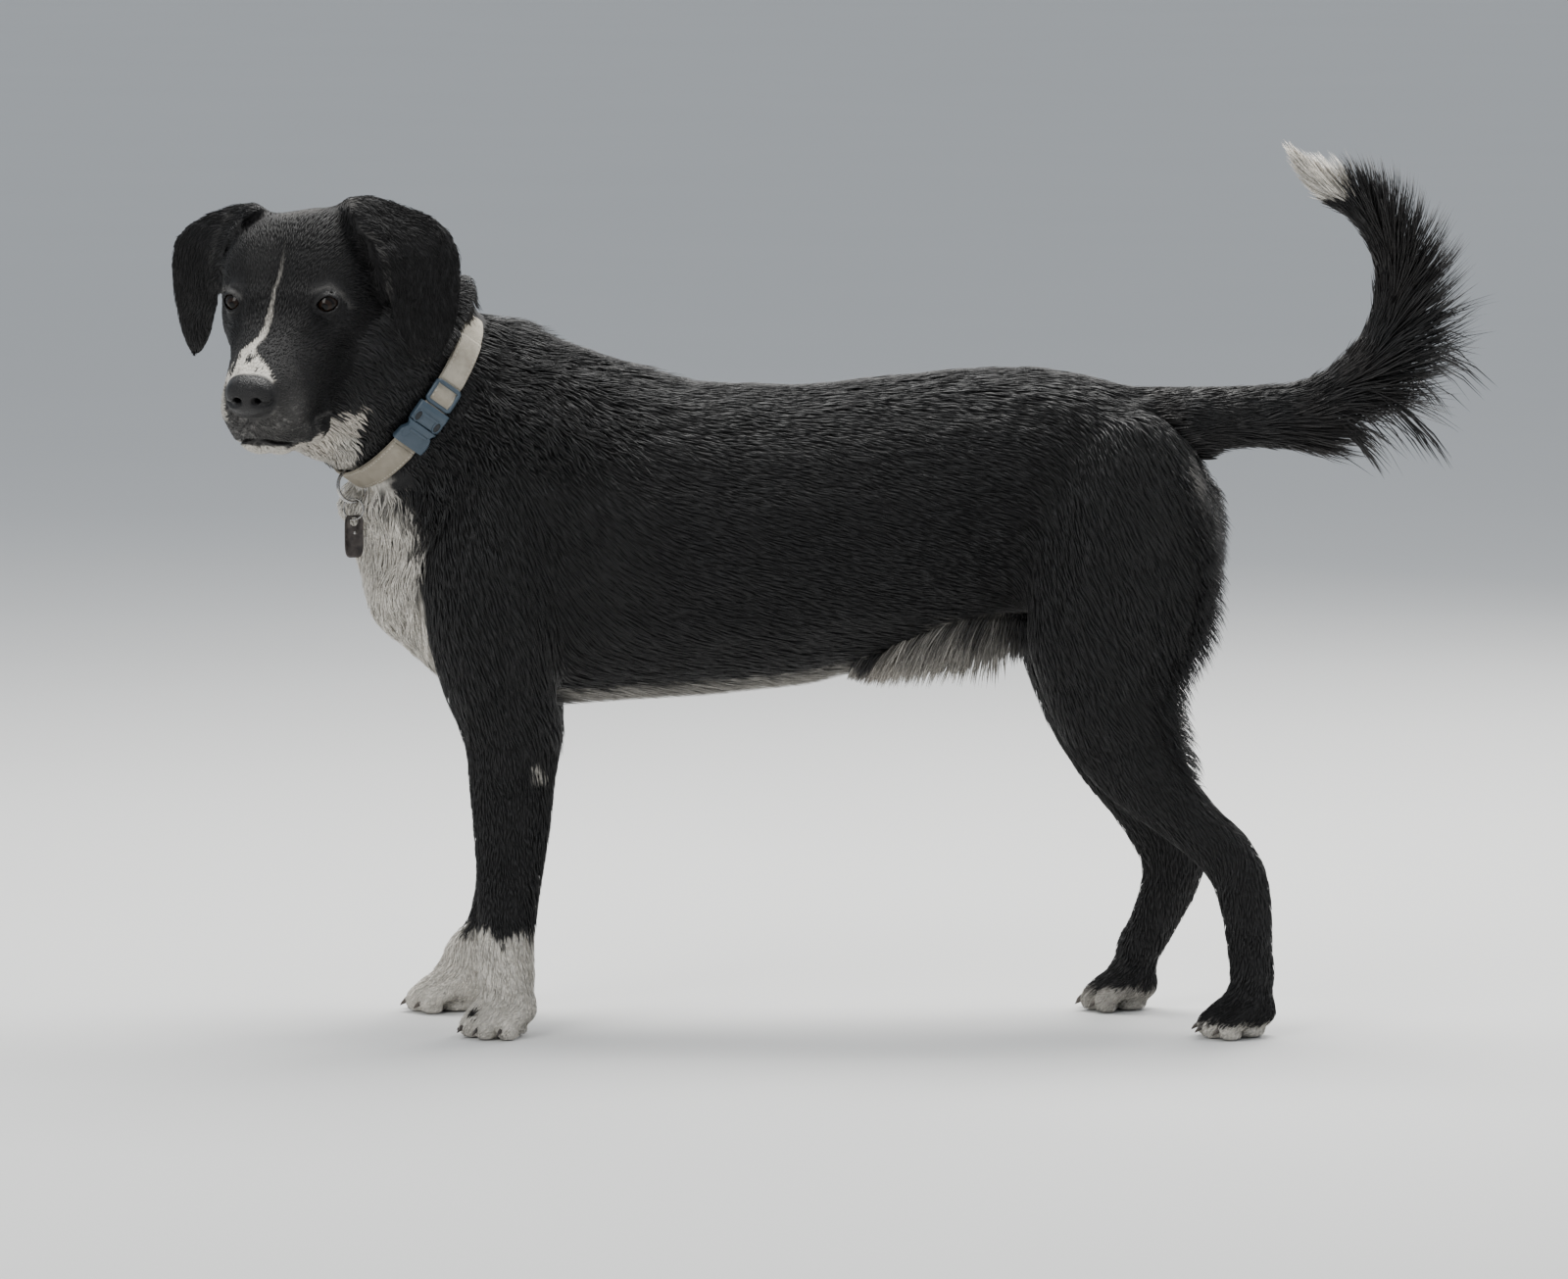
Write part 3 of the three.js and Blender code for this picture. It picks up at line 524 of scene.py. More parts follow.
def sculpt_head(h, d):
    """Adds the features of the head to distances d at points h of the head's frame."""
    mirrored = h.copy()
    mirrored[..., 0] = np.abs(h[..., 0])
    for centre, reach, height in HEAD_FORMS:
        q = (mirrored - np.array(centre)) / np.array(reach)
        d = d - height * np.exp(-np.sum(q * q, -1))
    rise = (h - np.array([36, -74, 52])) / (32, 24, 20)
    d = d - 8.5 * np.exp(-np.sum(rise * rise, -1))  # the crown rises towards the near ear

    # The lower jaw, narrower and further back than the lips that hang over it.
    below = smooth_step(lip_height(h[..., 1]) - h[..., 2], -1.5, 2.5) * smooth_step(h[..., 1], 30, 46)
    jaw = smooth_max(d, boxy(h, (0, 38, -82), (27, 56, 22), 2.3), 4)
    d = d + (jaw - d) * below
    chin = capsules(mirrored, np.array([(8.5, 83, -83), (8.5, 64, -92), (7, 42, -100)], float),
                    np.array([9.5, 12.5, 12.5]))
    d = smooth_min(d, chin, 8)
    outwards = unit(np.stack([MOUTH[:, 0] * 1.2, np.maximum(MOUTH[:, 1] - 45, 0),
                              0 * MOUTH[:, 2]], -1))
    flews = MOUTH - outwards * 7.5 + (0, 0, 9)
    flews[:, 0] = np.maximum(flews[:, 0], 0)
    d = smooth_min(d, capsules(mirrored, flews, np.array([6, 6.5, 7, 7.5, 8, 8, 7, 5.5, 4.5])), 10)
    for reach in (5, 2.6, 0.2, -2.2, -4.6):
        cut = capsules(mirrored, MOUTH + outwards * reach, np.full(len(MOUTH), 1.25))
        d = smooth_max(d, -cut, 1.6)
    philtrum = capsules(h, np.array([(0, 107, -49), (0, 104.5, -62), (0, 101, -77)], float),
                        np.array([1.5, 1.5, 1.3]))
    d = smooth_max(d, -philtrum, 2.0)

    nose = boxy(h, NOSE_AT, NOSE_HALF, 2.5)
    dent = ellipsoid(mirrored, (8.2, 107.5, -37.5), (4.6, 6.5, 4.0))
    comma = capsules(mirrored, np.array([(10, 106, -39.5), (15.5, 101.5, -42), (20, 95, -41.5),
                                         (21.5, 90, -38.5)], float), np.array([2.9, 2.2, 1.8, 0.4]))
    nose = smooth_max(nose, -smooth_min(dent, comma, 1.5), 1.4)
    nose = smooth_max(nose, -capsules(h, np.array([(0, 109.5, -33), (0, 109, -41), (0, 107, -50)],
                                                  float), np.array([0.8, 1.6, 1.6])), 1.8)
    d = smooth_min(d, nose, 3.2)
    d = smooth_max(d, -dent, 1.0)
    d = smooth_max(d, -(comma + 0.5), 1.0)
    d = smooth_max(d, -ellipsoid(mirrored, (9.0, 100, -37.5), (3.0, 7.5, 2.6)), 1.0)

    for side in (-1, 1):
        centre = EYE_AT * (side, 1, 1)
        gaze, out, up = eye_frame(side)
        q = h - centre
        reach = np.linalg.norm(q, axis=-1)
        ahead, across, high = q @ gaze, q @ out, q @ up
        lids = reach - (EYE_RADIUS + 1.3)
        d = smooth_min(d, lids, 10)
        tilted = high - 0.10 * across
        opening = lens(across, tilted, *LID_HALF)
        upper = smooth_step(tilted, -3, 3)
        near = smooth_step(EYE_RADIUS + 9 - reach, 0, 5) * smooth_step(ahead, 0, 4)
        # The rim of the lids, the fold over the upper one and the pouch under the lower one.
        d = d - near * 0.3 * np.exp(-((opening - 1.6) / 1.2) ** 2)
        d = d + near * upper * 0.7 * np.exp(-((opening - 4.6) / 1.2) ** 2)
        d = d - near * upper * 0.5 * np.exp(-((opening - 7.5) / 2.0) ** 2)
        d = d + near * (1 - upper) * 0.5 * np.exp(-((opening - 5.0) / 1.4) ** 2)
        d = np.maximum(d, -(reach - (EYE_RADIUS + 0.2)))
        slot = np.where(ahead > 0, opening, 9)
        d = smooth_max(d, -slot, 0.8)
        # The dark inner corner towards the nose.
        corner = capsules(h, np.array([centre + gaze * 9.2 - out * 8.6 - up * 1.2,
                                       centre + gaze * 8.0 - out * 11.8 - up * 2.2]),
                          np.array([1.3, 0.5]))
        d = smooth_max(d, -corner, 0.9)
    return d


corners = from_head(np.array([(a, f, c) for a in (-75, 75) for f in (-70, 112)
                              for c in (-125, 70)], float))
spans, p = grid_points(skin_volume, corners.min(0), corners.max(0))
skin_volume.values[spans] = sculpt_head(to_head(p), skin_volume.values[spans])

# ---- Paws ----

PAWS = {  # the middle of the sole, the degrees that the toes turn out, and the length
    "fore_left": (-238, -77, -42, 1.0), "fore_right": (-288, 74, 4, 1.0),
    "hind_left": (386, -81, -6, 0.96), "hind_right": (292, 80, 5, 0.96),
}
TOES = [  # knuckle, first joint and tip of a toe, its radii there, on the +Y side
    ([(-2, 8, 31), (14, 9, 22), (28, 9.5, 10)], (8.5, 8.3, 8.6)),
    ([(-8, 17, 26), (4, 20.5, 18), (15.5, 23, 9.5)], (7.5, 7.6, 8.0)),
]


def paw_frame(name):
    x, y, turn, long = PAWS[name]
    angle = math.pi - math.radians(turn)
    forward = np.array([math.cos(angle), math.sin(angle), 0])
    left = np.array([-math.sin(angle), math.cos(angle), 0])
    return np.array([x, y, 0.0]), forward, left, long


def to_paw(name, points):
    at, forward, left, long = paw_frame(name)
    q = points - at
    return np.stack([q @ forward / long, q @ left, q[..., 2]], -1)


def from_paw(name, points):
    at, forward, left, long = paw_frame(name)
    p = np.asarray(points, float)
    return at + p[..., :1] * forward * long + p[..., 1:2] * left + p[..., 2:3] * np.array([0, 0, 1.0])


def sculpt_paw(q, d):
    d = smooth_max(d, -(q[..., 2] - 17), 8)  # the coarse paw gives way to the toes
    paw = ellipsoid(q, (-8, 0, 24), (21, 21, 19))
    for side in (-1, 1):
        for line, radii in TOES:
            toe = capsules(q, np.array(line, float) * (1, side, 1), np.array(radii))
            paw = smooth_min(paw, toe, 2.6)
            tip = np.array(line[-1]) * (1, side, 1)
            paw = smooth_min(paw, ellipsoid(q, tip + (-3, 0, -5), (9, 6.5, 5)), 1.5)
    paw = smooth_min(paw, ellipsoid(q, (-6, 0, 6), (15, 17, 7)), 3)
    ankle = capsules(q, np.array([(-13, 0, 66), (-11, 0, 44), (-4, 0, 28)], float),
                     np.array([14.0, 15.5, 16.5]))
    paw = smooth_min(paw, ankle, 7)
    return smooth_max(smooth_min(d, paw, 9), 0.4 - q[..., 2], 0.8)


for name in PAWS:
    at, *_ = paw_frame(name)
    spans, p = grid_points(skin_volume, (at[0] - 60, at[1] - 46, -99), (at[0] + 60, at[1] + 46, 84))
    d = skin_volume.values[spans]
    blended = sculpt_paw(to_paw(name, p), d)
    keep = smooth_step(p[..., 2], 50, 80)
    skin_volume.values[spans] = blended * (1 - keep) + d * keep


# ---- Meshes ----


def new_mesh(name, points, faces):
    """A mesh object in the row's frame from points in millimetres and equal-sided faces."""
    faces = np.asarray(faces, np.int32)
    mesh = bpy.data.meshes.new(name)
    mesh.vertices.add(len(points))
    mesh.vertices.foreach_set("co", to_row(points).astype(np.float32).ravel())
    sides = faces.shape[1]
    mesh.loops.add(faces.size)
    mesh.loops.foreach_set("vertex_index", faces.ravel())
    mesh.polygons.add(len(faces))
    mesh.polygons.foreach_set("loop_start", np.arange(len(faces), dtype=np.int32) * sides)
    mesh.update(calc_edges=True)
    mesh.polygons.foreach_set("use_smooth", np.full(len(faces), True))
    thing = bpy.data.objects.new(name, mesh)
    bpy.context.scene.collection.objects.link(thing)
    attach(thing, "root")
    return thing


def ring_faces(rings, turns, closed=False, first=True, last=True):
    """Triangles from ring to ring of turns points each, with flat ends unless it's closed."""
    faces = []
    for k in range(rings if closed else rings - 1):
        here, there = k * turns, (k + 1) % rings * turns
        for j in range(turns):
            i = (j + 1) % turns
            faces += [(here + j, here + i, there + i), (here + j, there + i, there + j)]
    if first and not closed:
        faces += [(0, j + 1, j) for j in range(1, turns - 1)]
    if last and not closed:
        end = (rings - 1) * turns
        faces += [(end, end + j, end + j + 1) for j in range(1, turns - 1)]
    return np.array(faces)


def turned_out(points, faces):
    """The faces, all turned so that the closed mesh's volume is positive."""
    a, b, c = (points[faces[:, k]] for k in range(3))
    return faces if np.sum(a * np.cross(b, c)) > 0 else faces[:, ::-1]


def joined(parts):
    """One mesh's points and faces from those of several closed ones."""
    points, faces, count = [], [], 0
    for p, f in parts:
        points.append(p)
        faces.append(turned_out(p - p.mean(0), f) + count)
        count += len(p)
    return np.concatenate(points), np.concatenate(faces)


def without_specks(values):
    """The same distances, with no lone point of the grid inside or outside the flesh."""
    inside = values < 0
    middle = inside[1:-1, 1:-1, 1:-1]
    joined_on = np.zeros(middle.shape, bool)
    for axis in range(3):
        for start in (0, 2):
            part = [slice(1, -1)] * 3
            part[axis] = slice(start, start + middle.shape[axis])
            joined_on |= inside[tuple(part)] == middle
    cleaned = values.copy()
    cleaned[1:-1, 1:-1, 1:-1][~joined_on] *= -1
    return cleaned


def skin_surface():
    """The points and four-sided faces of the volume's surface."""
    furthest = 9.0  # distances beyond this don't shape the surface
    near = np.clip(skin_volume.values, -furthest, furthest).astype(np.float32)
    grid = vdb.FloatGrid(furthest)
    grid.copyFromArray(without_specks(near))
    cells, quads = grid.convertToQuads(isovalue=0.0)
    points = np.stack([np.interp(cells[:, a], np.arange(len(line)), line)
                       for a, line in enumerate(skin_volume.lines)], -1)
    return points, quads.astype(np.int64)


skin_points, skin_quads = skin_surface()


# ---- Which part of the body each point of the skin belongs to ----

flesh_points, flesh_triangles, flesh_owner = merged(FLESH)
flesh_tree = BVHTree.FromPolygons([Vector(v) for v in flesh_points],
                                  flesh_triangles.tolist(), all_triangles=True)
skin_part = np.array([flesh_owner[flesh_tree.find_nearest(Vector(p))[2]] for p in skin_points])
PART = {name: k for k, name in enumerate(FLESH)}


def of_parts(part, *starts):
    return np.isin(part, [k for name, k in PART.items() if name.startswith(starts)])


# ---- Markings ----

BLACK = np.array([0.0085, 0.0080, 0.0082])
WHITE = np.array([0.60, 0.565, 0.505])
GREY = np.array([0.20, 0.19, 0.178])
TAN = np.array([0.27, 0.185, 0.115])
LEATHER = np.array([0.0105, 0.0098, 0.0100])
BLAZE = np.array([  # how far forward less how far up, then the blaze's two edges
    (-80, 1.2, 2.6), (-66, 1.0, 3.2), (-48, 0.8, 3.8), (-30, 0.6, 3.8), (-2, -3.0, 0.2),
    (14, -3.4, 0.4), (27, -3.5, 1.2), (46, -3.0, 2.4), (55, -4.5, 2.5), (66, -10, -1), (74, -16, -2),
    (82, -19.5, 1), (92, -21.5, 8), (102, -22.5, 15.0), (112, -24, 19.5), (122, -25, 18),
], float)


def between(value, low, high, soft):
    """1 from low to high and 0 outside, with soft edges."""
    rising = smooth_step(value, low - soft, low + soft)
    return rising * (1 - smooth_step(value, high - soft, high + soft))


# The lowest line of the belly: its height over the floor at steps along the body.
on_belly = of_parts(skin_part, "trunk", "sheath") & (np.abs(skin_points[:, 1]) < 40)
BELLY_X = np.arange(-230, 260, 12.0)
BELLY_Z = np.array([skin_points[on_belly & (np.abs(skin_points[:, 0] - x) < 9), 2].min()
                    for x in BELLY_X])

# The light hair under the belly: along the body, how high it reaches on the dog's sides.
SHEATH_TOP = np.array([(60, 298), (80, 318), (100, 336), (130, 348), (155, 352), (208, 354)], float)


def nose_leather(h):
    """1 on the nose's bare leather."""
    flat = boxy(h, NOSE_AT + (0, 1.5, 0), NOSE_HALF + (0.8, 1.0, 0.8), 2.5)
    return 1 - smooth_step(flat, -0.2, 1.4)


def lip_shape(h):
    """How far a point lies from the line of the closed lips, and its height over it."""
    mirrored = h.copy()
    mirrored[:, 0] = np.abs(h[:, 0])
    return capsules(mirrored, MOUTH, np.zeros(len(MOUTH))), h[:, 2] - lip_height(h[:, 1])


def eye_reach(h):
    """How far points of the head's frame lie from the nearer eye's middle."""
    return np.minimum(*[np.linalg.norm(h - EYE_AT * (s, 1, 1), axis=-1) for s in (-1, 1)])


# Painted highlights, as the camera sees them: pale lines of light along both brows and the rims of the
# near and the far ear.
NEAR_BROW_HIGHLIGHT = ((-401, 295), (-388, 299), (-376, 294), (-369, 283))
FAR_BROW_HIGHLIGHT = ((-482, 299), (-472, 298), (-462, 291))
NEAR_EAR_RIM_LIGHT = ((-360, 351), (-347, 338), (-340, 320), (-337, 294), (-336, 269), (-326, 246),
                (-308, 237), (-292, 242), (-277, 265), (-273, 302))
FAR_EAR_RIM_LIGHT = ((-467, 367), (-481, 344), (-485, 322))


def polyline_distance(points, line):
    """How far flat points lie from a line of straight stretches."""
    best = np.full(len(points), 1e9)
    for p, q in zip(line[:-1], line[1:]):
        share = np.clip((points - p) @ (q - p) / ((q - p) @ (q - p)), 0, 1)
        best = np.minimum(best, np.linalg.norm(points - p - share[:, None] * (q - p), axis=1))
    return best


def markings(points, part):
    """The colour of skin and coat at points, from the rules of the dog's markings."""
    n = len(points)
    x, y, z = points.T
    h = to_head(points)
    a, f, c = h.T
    on_head = of_parts(part, "head", "lower_jaw", "nose", "eye") | (
        of_parts(part, "neck") & (f > -60) & (c < -60))
    fine = noise(points, 5, 41, 20)
    mid = noise(points, 14, 42)
    wide = noise(points, 45, 43)
    white = np.zeros(n)
    grey = np.zeros(n)
    tan = np.zeros(n)

    # The blaze and the patch over the nose.
    along = f - c
    left = np.interp(along, BLAZE[:, 0], BLAZE[:, 1])
    right = np.interp(along, BLAZE[:, 0], BLAZE[:, 2])
    jag = 0.5 * fine + np.where(along > 66, 1.3 * mid, 0.3 * mid)
    blaze = between(a + jag, left, right, 0.6 + 0.5 * (along > 60)) * on_head * (f > -50)
    blaze = blaze * smooth_step(c, -34, -27)
    blaze = blaze * (1 - 0.9 * smooth_step(noise(points, 7, 44), 0.62, 0.85) * (along > 76))
    freckle = np.linalg.norm((h - (-4.5, 76, -18)) / (3.4, 5.5, 9), axis=1) + 0.2 * fine
    streak = np.linalg.norm((h - (-18.5, 74, -20)) / (2.2, 12, 9), axis=1) + 0.2 * fine
    blaze = blaze * smooth_step(np.minimum(freckle, streak), 0.8, 1.2)
    faint = np.interp(along, (-82, -62, -44, -26, 20, 44, 64), (0, 0.03, 0.10, 0.34, 0.42, 0.55, 1.0))
    white = np.maximum(white, blaze * faint)
    # Painted rim light: a pale line down the far side of the muzzle, where the light catches its edge.
    muzzle_rim_light = between(a + 0.8 * mid, -31, -23.5, 1.5) * between(c, -62, -22, 3) * between(f, 72, 104, 3)
    white = np.maximum(white, 0.7 * muzzle_rim_light * on_head)

    # Ticking on the muzzle's sides, and grey hair along the lips and the brows; painted sheen on the
    # crown and the forehead, and painted highlights along the brows and the ears' rims.
    ticks = smooth_step(noise(points, 4.2, 45, 26), 0.25, 0.9)
    muzzle = on_head * smooth_step(f, 44, 66) * between(c, -96, -24, 8)
    muzzle = muzzle * (0.35 + 0.65 * smooth_step(-c, 38, 62))
    patchy = 0.55 + 0.45 * np.clip(wide + 0.4, 0, 1)
    grey = np.maximum(grey, muzzle * (0.12 + 0.44 * ticks) * patchy)
    seen = as_seen(points)
    # Painted sheen: the grey on the crown and on the forehead's far side stands for sunlight on the black
    # hair.
    skull = on_head | (of_parts(part, "ear_left") & (seen[:, 0] < EAR_FRONT + 1))
    rising = 0.1 * np.clip(a, 0, 60)
    crown = skull * smooth_step(c - rising, 53, 59) * between(f, -84, -30, 9) * between(a, -28, 52, 9)
    grey = np.maximum(grey, crown * (0.34 + 0.10 * ticks))
    sheen = on_head * between(c, 16, 52, 8) * between(a, -30, -4, 6) * between(f, -64, 6, 12)
    grey = np.maximum(grey, 0.035 * sheen)
    whiskers = np.exp(-np.sum(((h - (18, 86, -62)) / (24, 22, 19)) ** 2, 1)) * on_head
    grey = np.maximum(grey, whiskers * (0.30 + 0.42 * ticks))
    # Painted highlights: pale lines of light along both brows and the rims of both ears.
    for line, reach, weight, there in (
            (FAR_BROW_HIGHLIGHT, 2.2, 0.30, on_head * (a < -12)),
            (NEAR_BROW_HIGHLIGHT, 1.7, 0.16, on_head * (a > 12)),
            (NEAR_EAR_RIM_LIGHT, 1.3, 0.22, of_parts(part, "ear_left")),
            (FAR_EAR_RIM_LIGHT, 1.8, 0.10, of_parts(part, "ear_right"))):
        off = polyline_distance(seen, np.array(line, float)) + 0.4 * fine
        grey = np.maximum(grey, weight * (1 - smooth_step(off, 0.5 * reach, 1.6 * reach)) * there)
    reach = eye_reach(h)
    brow = on_head * (c > 2) * between(reach, 13, 22, 2.5) * (f > -16)
    grey = np.maximum(grey, 0.012 * brow)

    # Chin, lower jaw and throat: white hair, dulled a little on the jaw and more on the throat, with tan
    # there, as painted shade under the head.
    from_lips, over = lip_shape(h)
    jaw = on_head * (1 - smooth_step(over + 0.8 * mid, -4.5, -2.5)) * (f > 20)
    white = np.maximum(white, jaw * 0.9)
    throat = on_head * (1 - smooth_step(c + 2.5 * mid + 1.0 * fine, -96, -92))
    throat = throat * (np.abs(a) < 57 + 0.45 * (c + 101) + 3 * mid) * smooth_step(f, -34, -28)
    from_collar = (points - COLLAR_CENTRE) @ COLLAR_AXIS
    throat = throat * smooth_step(from_collar + 3 * mid + 1.5 * fine, 15, 21)
    white = np.maximum(white, 0.82 * throat)
    tan = np.maximum(tan, 0.30 * throat * np.clip(wide + 0.3, 0, 1))
    lips = on_head * (f > 22) * (1 - smooth_step(from_lips, 1.8, 3.0)) * (over < 3)
    corner = np.linalg.norm((np.stack([np.abs(a), f, c], -1) - (40, 33, -97)) / (12, 12, 11), axis=1)
    lips = np.maximum(lips, on_head * (1 - smooth_step(corner, 0.8, 1.05)))
    grey = np.maximum(grey, 0.25 * on_head * between(corner, 1.1, 1.35, 0.08) * (f > 20))
    white, grey, tan = (weight * (1 - lips) for weight in (white, grey, tan))

    # The bib.
    edge = np.interp(z, (296, 316, 400, 437, 464, 480, 496), (-304, -297, -297, -301, -316, -326, -344))
    bib = 1 - smooth_step(x + 5 * mid + 3.0 * fine + 3 * wide - edge, -3, 3)
    bib = bib * between(z + 5 * mid, 300, 486, 4) * of_parts(part, "trunk", "neck", "fore_") * (z > 250)
    bib = bib * (1 - smooth_step(np.abs(y + 4 * mid), 62, 72))
    white = np.maximum(white, bib)

    # The belly's pale line, painted light reflected up from the ground; a painted highlight on the edge
    # under the tail; and the sheath's tuft.
    over_belly = z - np.interp(x, BELLY_X, BELLY_Z) + 3 * mid + 1.5 * fine
    belly_reflection = between(x + 6 * wide, -198, 66, 9) * (1 - smooth_step(over_belly, 9, 15))
    belly_reflection = belly_reflection * of_parts(part, "trunk", "sheath")
    white = np.maximum(white, 0.46 * belly_reflection)
    # Painted highlight: a grey crescent on the edge under the tail.
    under_tail_highlight = np.hypot((x - 341 + 0.16 * (z - 481)) / 4.0, (z - 481) / 22) + 0.15 * mid
    grey = np.maximum(grey, 0.55 * (1 - smooth_step(under_tail_highlight, 0.7, 1.2)) * (y < -18) * (z < 505))
    sheath = of_parts(part, "sheath", "trunk") * between(x + 5 * mid, 66, 196, 8)
    under_top = np.interp(x, SHEATH_TOP[:, 0], SHEATH_TOP[:, 1]) - z
    sheath = sheath * (1 - smooth_step(np.abs(y) + 4 * mid, 64, 78))
    sheath = sheath * smooth_step(under_top + 4 * mid, -6, 5)
    sheath = sheath * (0.55 + 0.45 * smooth_step(under_top, 2, 34))
    white = np.maximum(white, (0.60 + 0.24 * fine + 0.22 * smooth_step(-x, -140, -80)) * sheath)
    tan = np.maximum(tan, 0.25 * sheath * smooth_step(-x, -130, -80))

    # The feet, the callus of the elbow, the dark spot on a foot, and the tip of the tail.
    sock = np.interp(x, (-266, -250, -232, -216, -205), (98, 88, 85, 91, 112))
    near_fore = of_parts(part, "fore_left") * (1 - smooth_step(z + 4 * fine + 5 * mid - sock, -3, 3))
    far_fore = of_parts(part, "fore_right") * (1 - smooth_step(z + 4 * fine + 5 * mid, 68, 76))
    near_hind = of_parts(part, "hind_left") * (1 - smooth_step(z + 2 * fine + 2 * mid, 12, 17))
    far_hind = of_parts(part, "hind_right") * (1 - smooth_step(z + 2 * fine + 3 * mid, 16, 24))
    # The hind feet's white is dulled, the far foot's most, as painted shade.
    white = np.max([white, near_fore, far_fore, near_hind * 0.9, 0.6 * far_hind], 0)
    callus = np.hypot((x + 208 - 0.3 * (z - 228)) / 6.5, (z - 228) / 3.6) + 0.25 * fine
    callus = 0.5 * (1 - smooth_step(callus, 0.7, 1.2)) * (y < -60)
    white = np.maximum(white, callus * of_parts(part, "fore_left"))
    spot = np.linalg.norm((points - (-262, -98, 26)) / (7, 12, 7), axis=1)
    white = white * smooth_step(spot + 0.15 * fine, 0.8, 1.2)
    tip = of_parts(part, "tail_") * smooth_step(z - 0.55 * (x - 463) + 5 * fine + 5 * mid, 690, 700)
    white = np.maximum(white, tip)

    # The browner hair of the tail, and then the tones laid over the black.
    rusty = of_parts(part, "tail_") * np.clip(0.35 + 0.5 * wide, 0, 1)
    colour = BLACK * (1 + 0.16 * wide[:, None] + 0.22 * fine[:, None])
    colour = colour + rusty[:, None] * np.array([0.004, 0.002, 0.0008])
    for weight, tone in ((grey, GREY), (tan, TAN), (white, WHITE)):
        shade = tone * (1 + 0.05 * fine[:, None] + 0.07 * wide[:, None])
        colour = colour + (shade - colour) * np.clip(weight, 0, 1)[:, None]
    warm = (tan * (white > 0.4))[:, None]
    colour = colour * (1 - 0.5 * warm) + TAN * warm * 0.6
    leather = nose_leather(h) * on_head
    colour = colour + (LEATHER - colour) * leather[:, None]
    return np.clip(colour, 0.002, 1)


def bare_skin(points, part):
    """1 where the skin is bare: nose, lips, the rims of the eyes, and the pads."""
    h = to_head(points)
    head = of_parts(part, "head", "lower_jaw", "nose")
    from_lips, _ = lip_shape(h)
    bare = nose_leather(h) * head
    lips = (1 - smooth_step(from_lips, 1.8, 3.4)) * head * (h[:, 1] > 20)
    rims = (1 - smooth_step(eye_reach(h), EYE_RADIUS + 1.2, EYE_RADIUS + 2.2)) * head
    soles = (1 - smooth_step(points[:, 2], 3.5, 6.5)) * of_parts(part, "fore_", "hind_")
    return np.clip(np.max([bare, lips, rims, soles], 0), 0, 1)


# ---- The lie of the coat ----


def guide(points, normals, part):
    """Which way the hair points, before it is softened and laid along the surface."""
    x, y, z = points.T
    h = to_head(points)
    a, f, c = h.T
    way = np.tile(np.array([1.0, 0, -0.28]), (len(points), 1))

    def put(mask, vector):
        m = np.broadcast_to(np.asarray(mask, float)[:, None], way.shape)
        way[:] = way * (1 - m) + m * np.broadcast_to(vector, way.shape)

    trunk = of_parts(part, "trunk")
    put(trunk * smooth_step(np.abs(y), 30, 90) * smooth_step(-x, 60, 200), (0.62, 0, -0.78))
    put(trunk * (1 - smooth_step(z, 300, 345)), (1, 0, -0.1))
    put(trunk * smooth_step(x, 180, 290) * smooth_step(np.abs(y), 20, 70), (0.6, 0, -0.8))
    put(trunk * smooth_step(-x, 262, 312) * (z < 520), (0.18, 0, -1))
    neck = of_parts(part, "neck")
    put(neck, unit(-COLLAR_AXIS + np.array([0, 0, -0.15])))
    under = smooth_step(-normals @ COLLAR_NAPE, 0.1, 0.7)
    put(neck * under, (0.25, 0.12, -0.95))
    put(of_parts(part, "fore_left_shoulder", "fore_right_shoulder"), (0.35, 0, -0.94))
    put(of_parts(part, "fore_left_fore", "fore_right_fore", "fore_left_past", "fore_right_past"),
        (0.10, 0, -1))
    put(of_parts(part, "hind_left_thigh", "hind_right_thigh"), (0.42, 0, -0.9))
    put(of_parts(part, "hind_left_shank", "hind_right_shank"), (0.55, 0, -0.84))
    put(of_parts(part, "hind_left_hock", "hind_right_hock"), (0.0, 0, -1))
    for name in PAWS:
        _, forward, _, _ = paw_frame(name)
        paw = of_parts(part, name + "_paw")
        put(paw, forward * 0.75 + np.array([0, 0, -0.66]))
    head = of_parts(part, "head", "lower_jaw", "nose")
    back = np.stack([np.sign(a) * 0.30 * smooth_step(np.abs(a), 2, 14), np.full(len(a), -1.0),
                     np.where(c > -20, 0.25, -0.25)], -1)
    put(head, head_vector(back))
    cheek = head * smooth_step(np.abs(a), 40, 58) * smooth_step(-f, -10, 25)
    put(cheek, head_vector(np.stack([0 * a, -0.75 + 0 * a, -0.66 + 0 * a], -1)))
    for s in (-1, 1):
        offset = h - EYE_AT * (s, 1, 1)
        reach = np.linalg.norm(offset, axis=-1)
        put(head * (1 - smooth_step(reach, 14, 24)), head_vector(unit(offset) + np.array([0, -0.5, 0])))
    for ear, s in (("ear_left", 1), ("ear_right", -1)):
        out = smooth_step(np.abs(a), 58, 96) * (1 - smooth_step(c, 20, 52))
        down = np.stack([s * (0.9 - 0.75 * out), 0.05 + 0.22 * out, 0.2 - 1.2 * out], -1)
        if s < 0:
            down[:, 1] -= 0.12 * out
        put(of_parts(part, ear), head_vector(down))
    tail = of_parts(part, "tail_")
    way[tail] = tail_along[nearest_on_tail(points[tail])]
    return unit(way)


